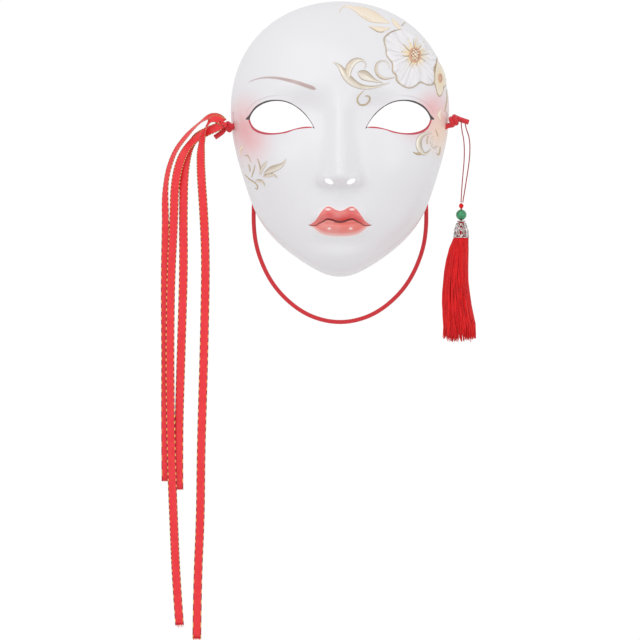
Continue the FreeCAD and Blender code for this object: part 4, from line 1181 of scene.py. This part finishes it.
def skirt_path(turn, depth, length):
    """One thread's way down, leaning slightly left and waving a little."""
    wave = random.uniform(0.0, 6.3)
    drift = random.uniform(-0.12, 0.12)
    path = []
    for step in range(THREAD_STEPS + 1):
        share = step / THREAD_STEPS
        pinch = 0.5 * math.exp(-((share - 0.05) / 0.03) ** 2)
        radius = (5.1 + 7.5 * share ** 0.62 - pinch) * depth
        lean = (TASSEL_ACROSS - SKIRT_LEAN * math.sin(math.pi * min(1.0, share * 1.15)) ** 0.8
                - 1.4 * share)
        angle = turn + drift * share + 0.07 * math.sin(wave + 5.0 * share)
        path.append(Vector((lean + radius * math.cos(angle) + 0.4 * math.sin(wave + 7.0 * share),
                            radius * math.sin(angle), SKIRT_TOP - length * share)) * MM)
    return path


skirt_paths = []
for number in range(THREADS):
    outer = number < THREADS * OUTER_SHARE
    skirt_paths.append(skirt_path(
        2.0 * math.pi * number * GOLDEN_SHARE, random.uniform(0.93, 1.03) if outer
        else random.uniform(0.4, 0.9), random.uniform(*THREAD_LENGTHS) + (0.0 if outer else 2.6)))
skirt = thread_bundle("tassel_skirt_threads", skirt_paths, THREAD_RADIUS * MM)
skirt.data.materials.append(silk_floss)
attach(skirt, "tassel")
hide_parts("tassel_skirt")


def skirt_heart(u, v):
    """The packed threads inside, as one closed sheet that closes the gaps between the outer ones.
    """
    angle = 2.0 * math.pi * u
    radius = (4.5 + 6.4 * v ** 0.62) * (1.0 + 0.02 * math.sin(23.0 * angle))
    lean = (TASSEL_ACROSS - SKIRT_LEAN * math.sin(math.pi * min(1.0, v * 1.08)) ** 0.8
            - 1.3 * v)
    return Vector((lean + radius * math.cos(angle), radius * math.sin(angle),
                   SKIRT_TOP - 74.0 * v)) * MM


packed = laid_grid("tassel_skirt_inside", 48, 24, skirt_heart, closed=True)
packed.data.materials.append(silk_floss)
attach(packed, "tassel")

BINDING_TOP = -92.0
BINDING_RADIUS = 5.55
BINDING_PITCH = 0.5
BINDING_TURNS = 4
TURN_STEPS = 10

binding_spots = []
for step in range(BINDING_TURNS * TURN_STEPS + 1):
    angle = 2.0 * math.pi * step / TURN_STEPS
    binding_spots.append((TASSEL_ACROSS + BINDING_RADIUS * math.cos(angle),
                          BINDING_RADIUS * math.sin(angle),
                          BINDING_TOP - BINDING_PITCH * step / TURN_STEPS))
binding = round_cord("tassel_binding_turns", smooth_line(binding_spots, 5), 0.6 * MM, 6)
binding.data.materials.append(silk_floss)
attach(binding, "tassel")
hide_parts("tassel_binding")
for slot in nodes["tassel_head"].material_slots:
    slot.material = silk_floss

# ----------------------------------------------------------- frayed endings
# The cut ends of all four tails have let their warp threads loose. The two
# long ones have frayed twice as far as the short ones.

FRAY_SPREAD = 0.94  # share of the ribbon's width
FRAY_RADIUS = 0.09


def frayed_end(name, cad_name, count, reach):
    line = smooth_line(RIBBON_ROUTES[cad_name], 14)
    end = line[-1]
    ahead = (line[-1] - line[-2]).normalized()
    side = ahead.cross(Vector((0.0, -1.0, 0.0))).normalized()
    paths = []
    for number in range(count):
        off = (number / (count - 1) - 0.5) * RIBBON_WIDTH * FRAY_SPREAD * MM
        length = random.uniform(0.35, 1.0) * reach * MM
        bend = random.uniform(-0.35, 0.35)
        sway = random.uniform(-0.5, 0.5)
        paths.append([end + side * (off + bend * length * share ** 2)
                      + ahead * (length * share - 0.001)
                      + Vector((0.0, 1.0, 0.0)) * sway * length * share ** 2 * 0.6
                      for share in (0.0, 0.25, 0.5, 0.75, 1.0)])
    fray = thread_bundle(name, paths, FRAY_RADIUS * MM)
    fray.data.materials.append(silk_floss)
    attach(fray, "ribbons")


frayed_end("long_front_frayed_end", "ribbon_long_front", 22, 4.0)
frayed_end("long_inner_frayed_end", "ribbon_long_inner", 22, 4.0)
frayed_end("rear_short_frayed_end", "ribbon_rear_short", 16, 2.0)
frayed_end("middle_short_frayed_end", "ribbon_middle_short", 16, 2.0)
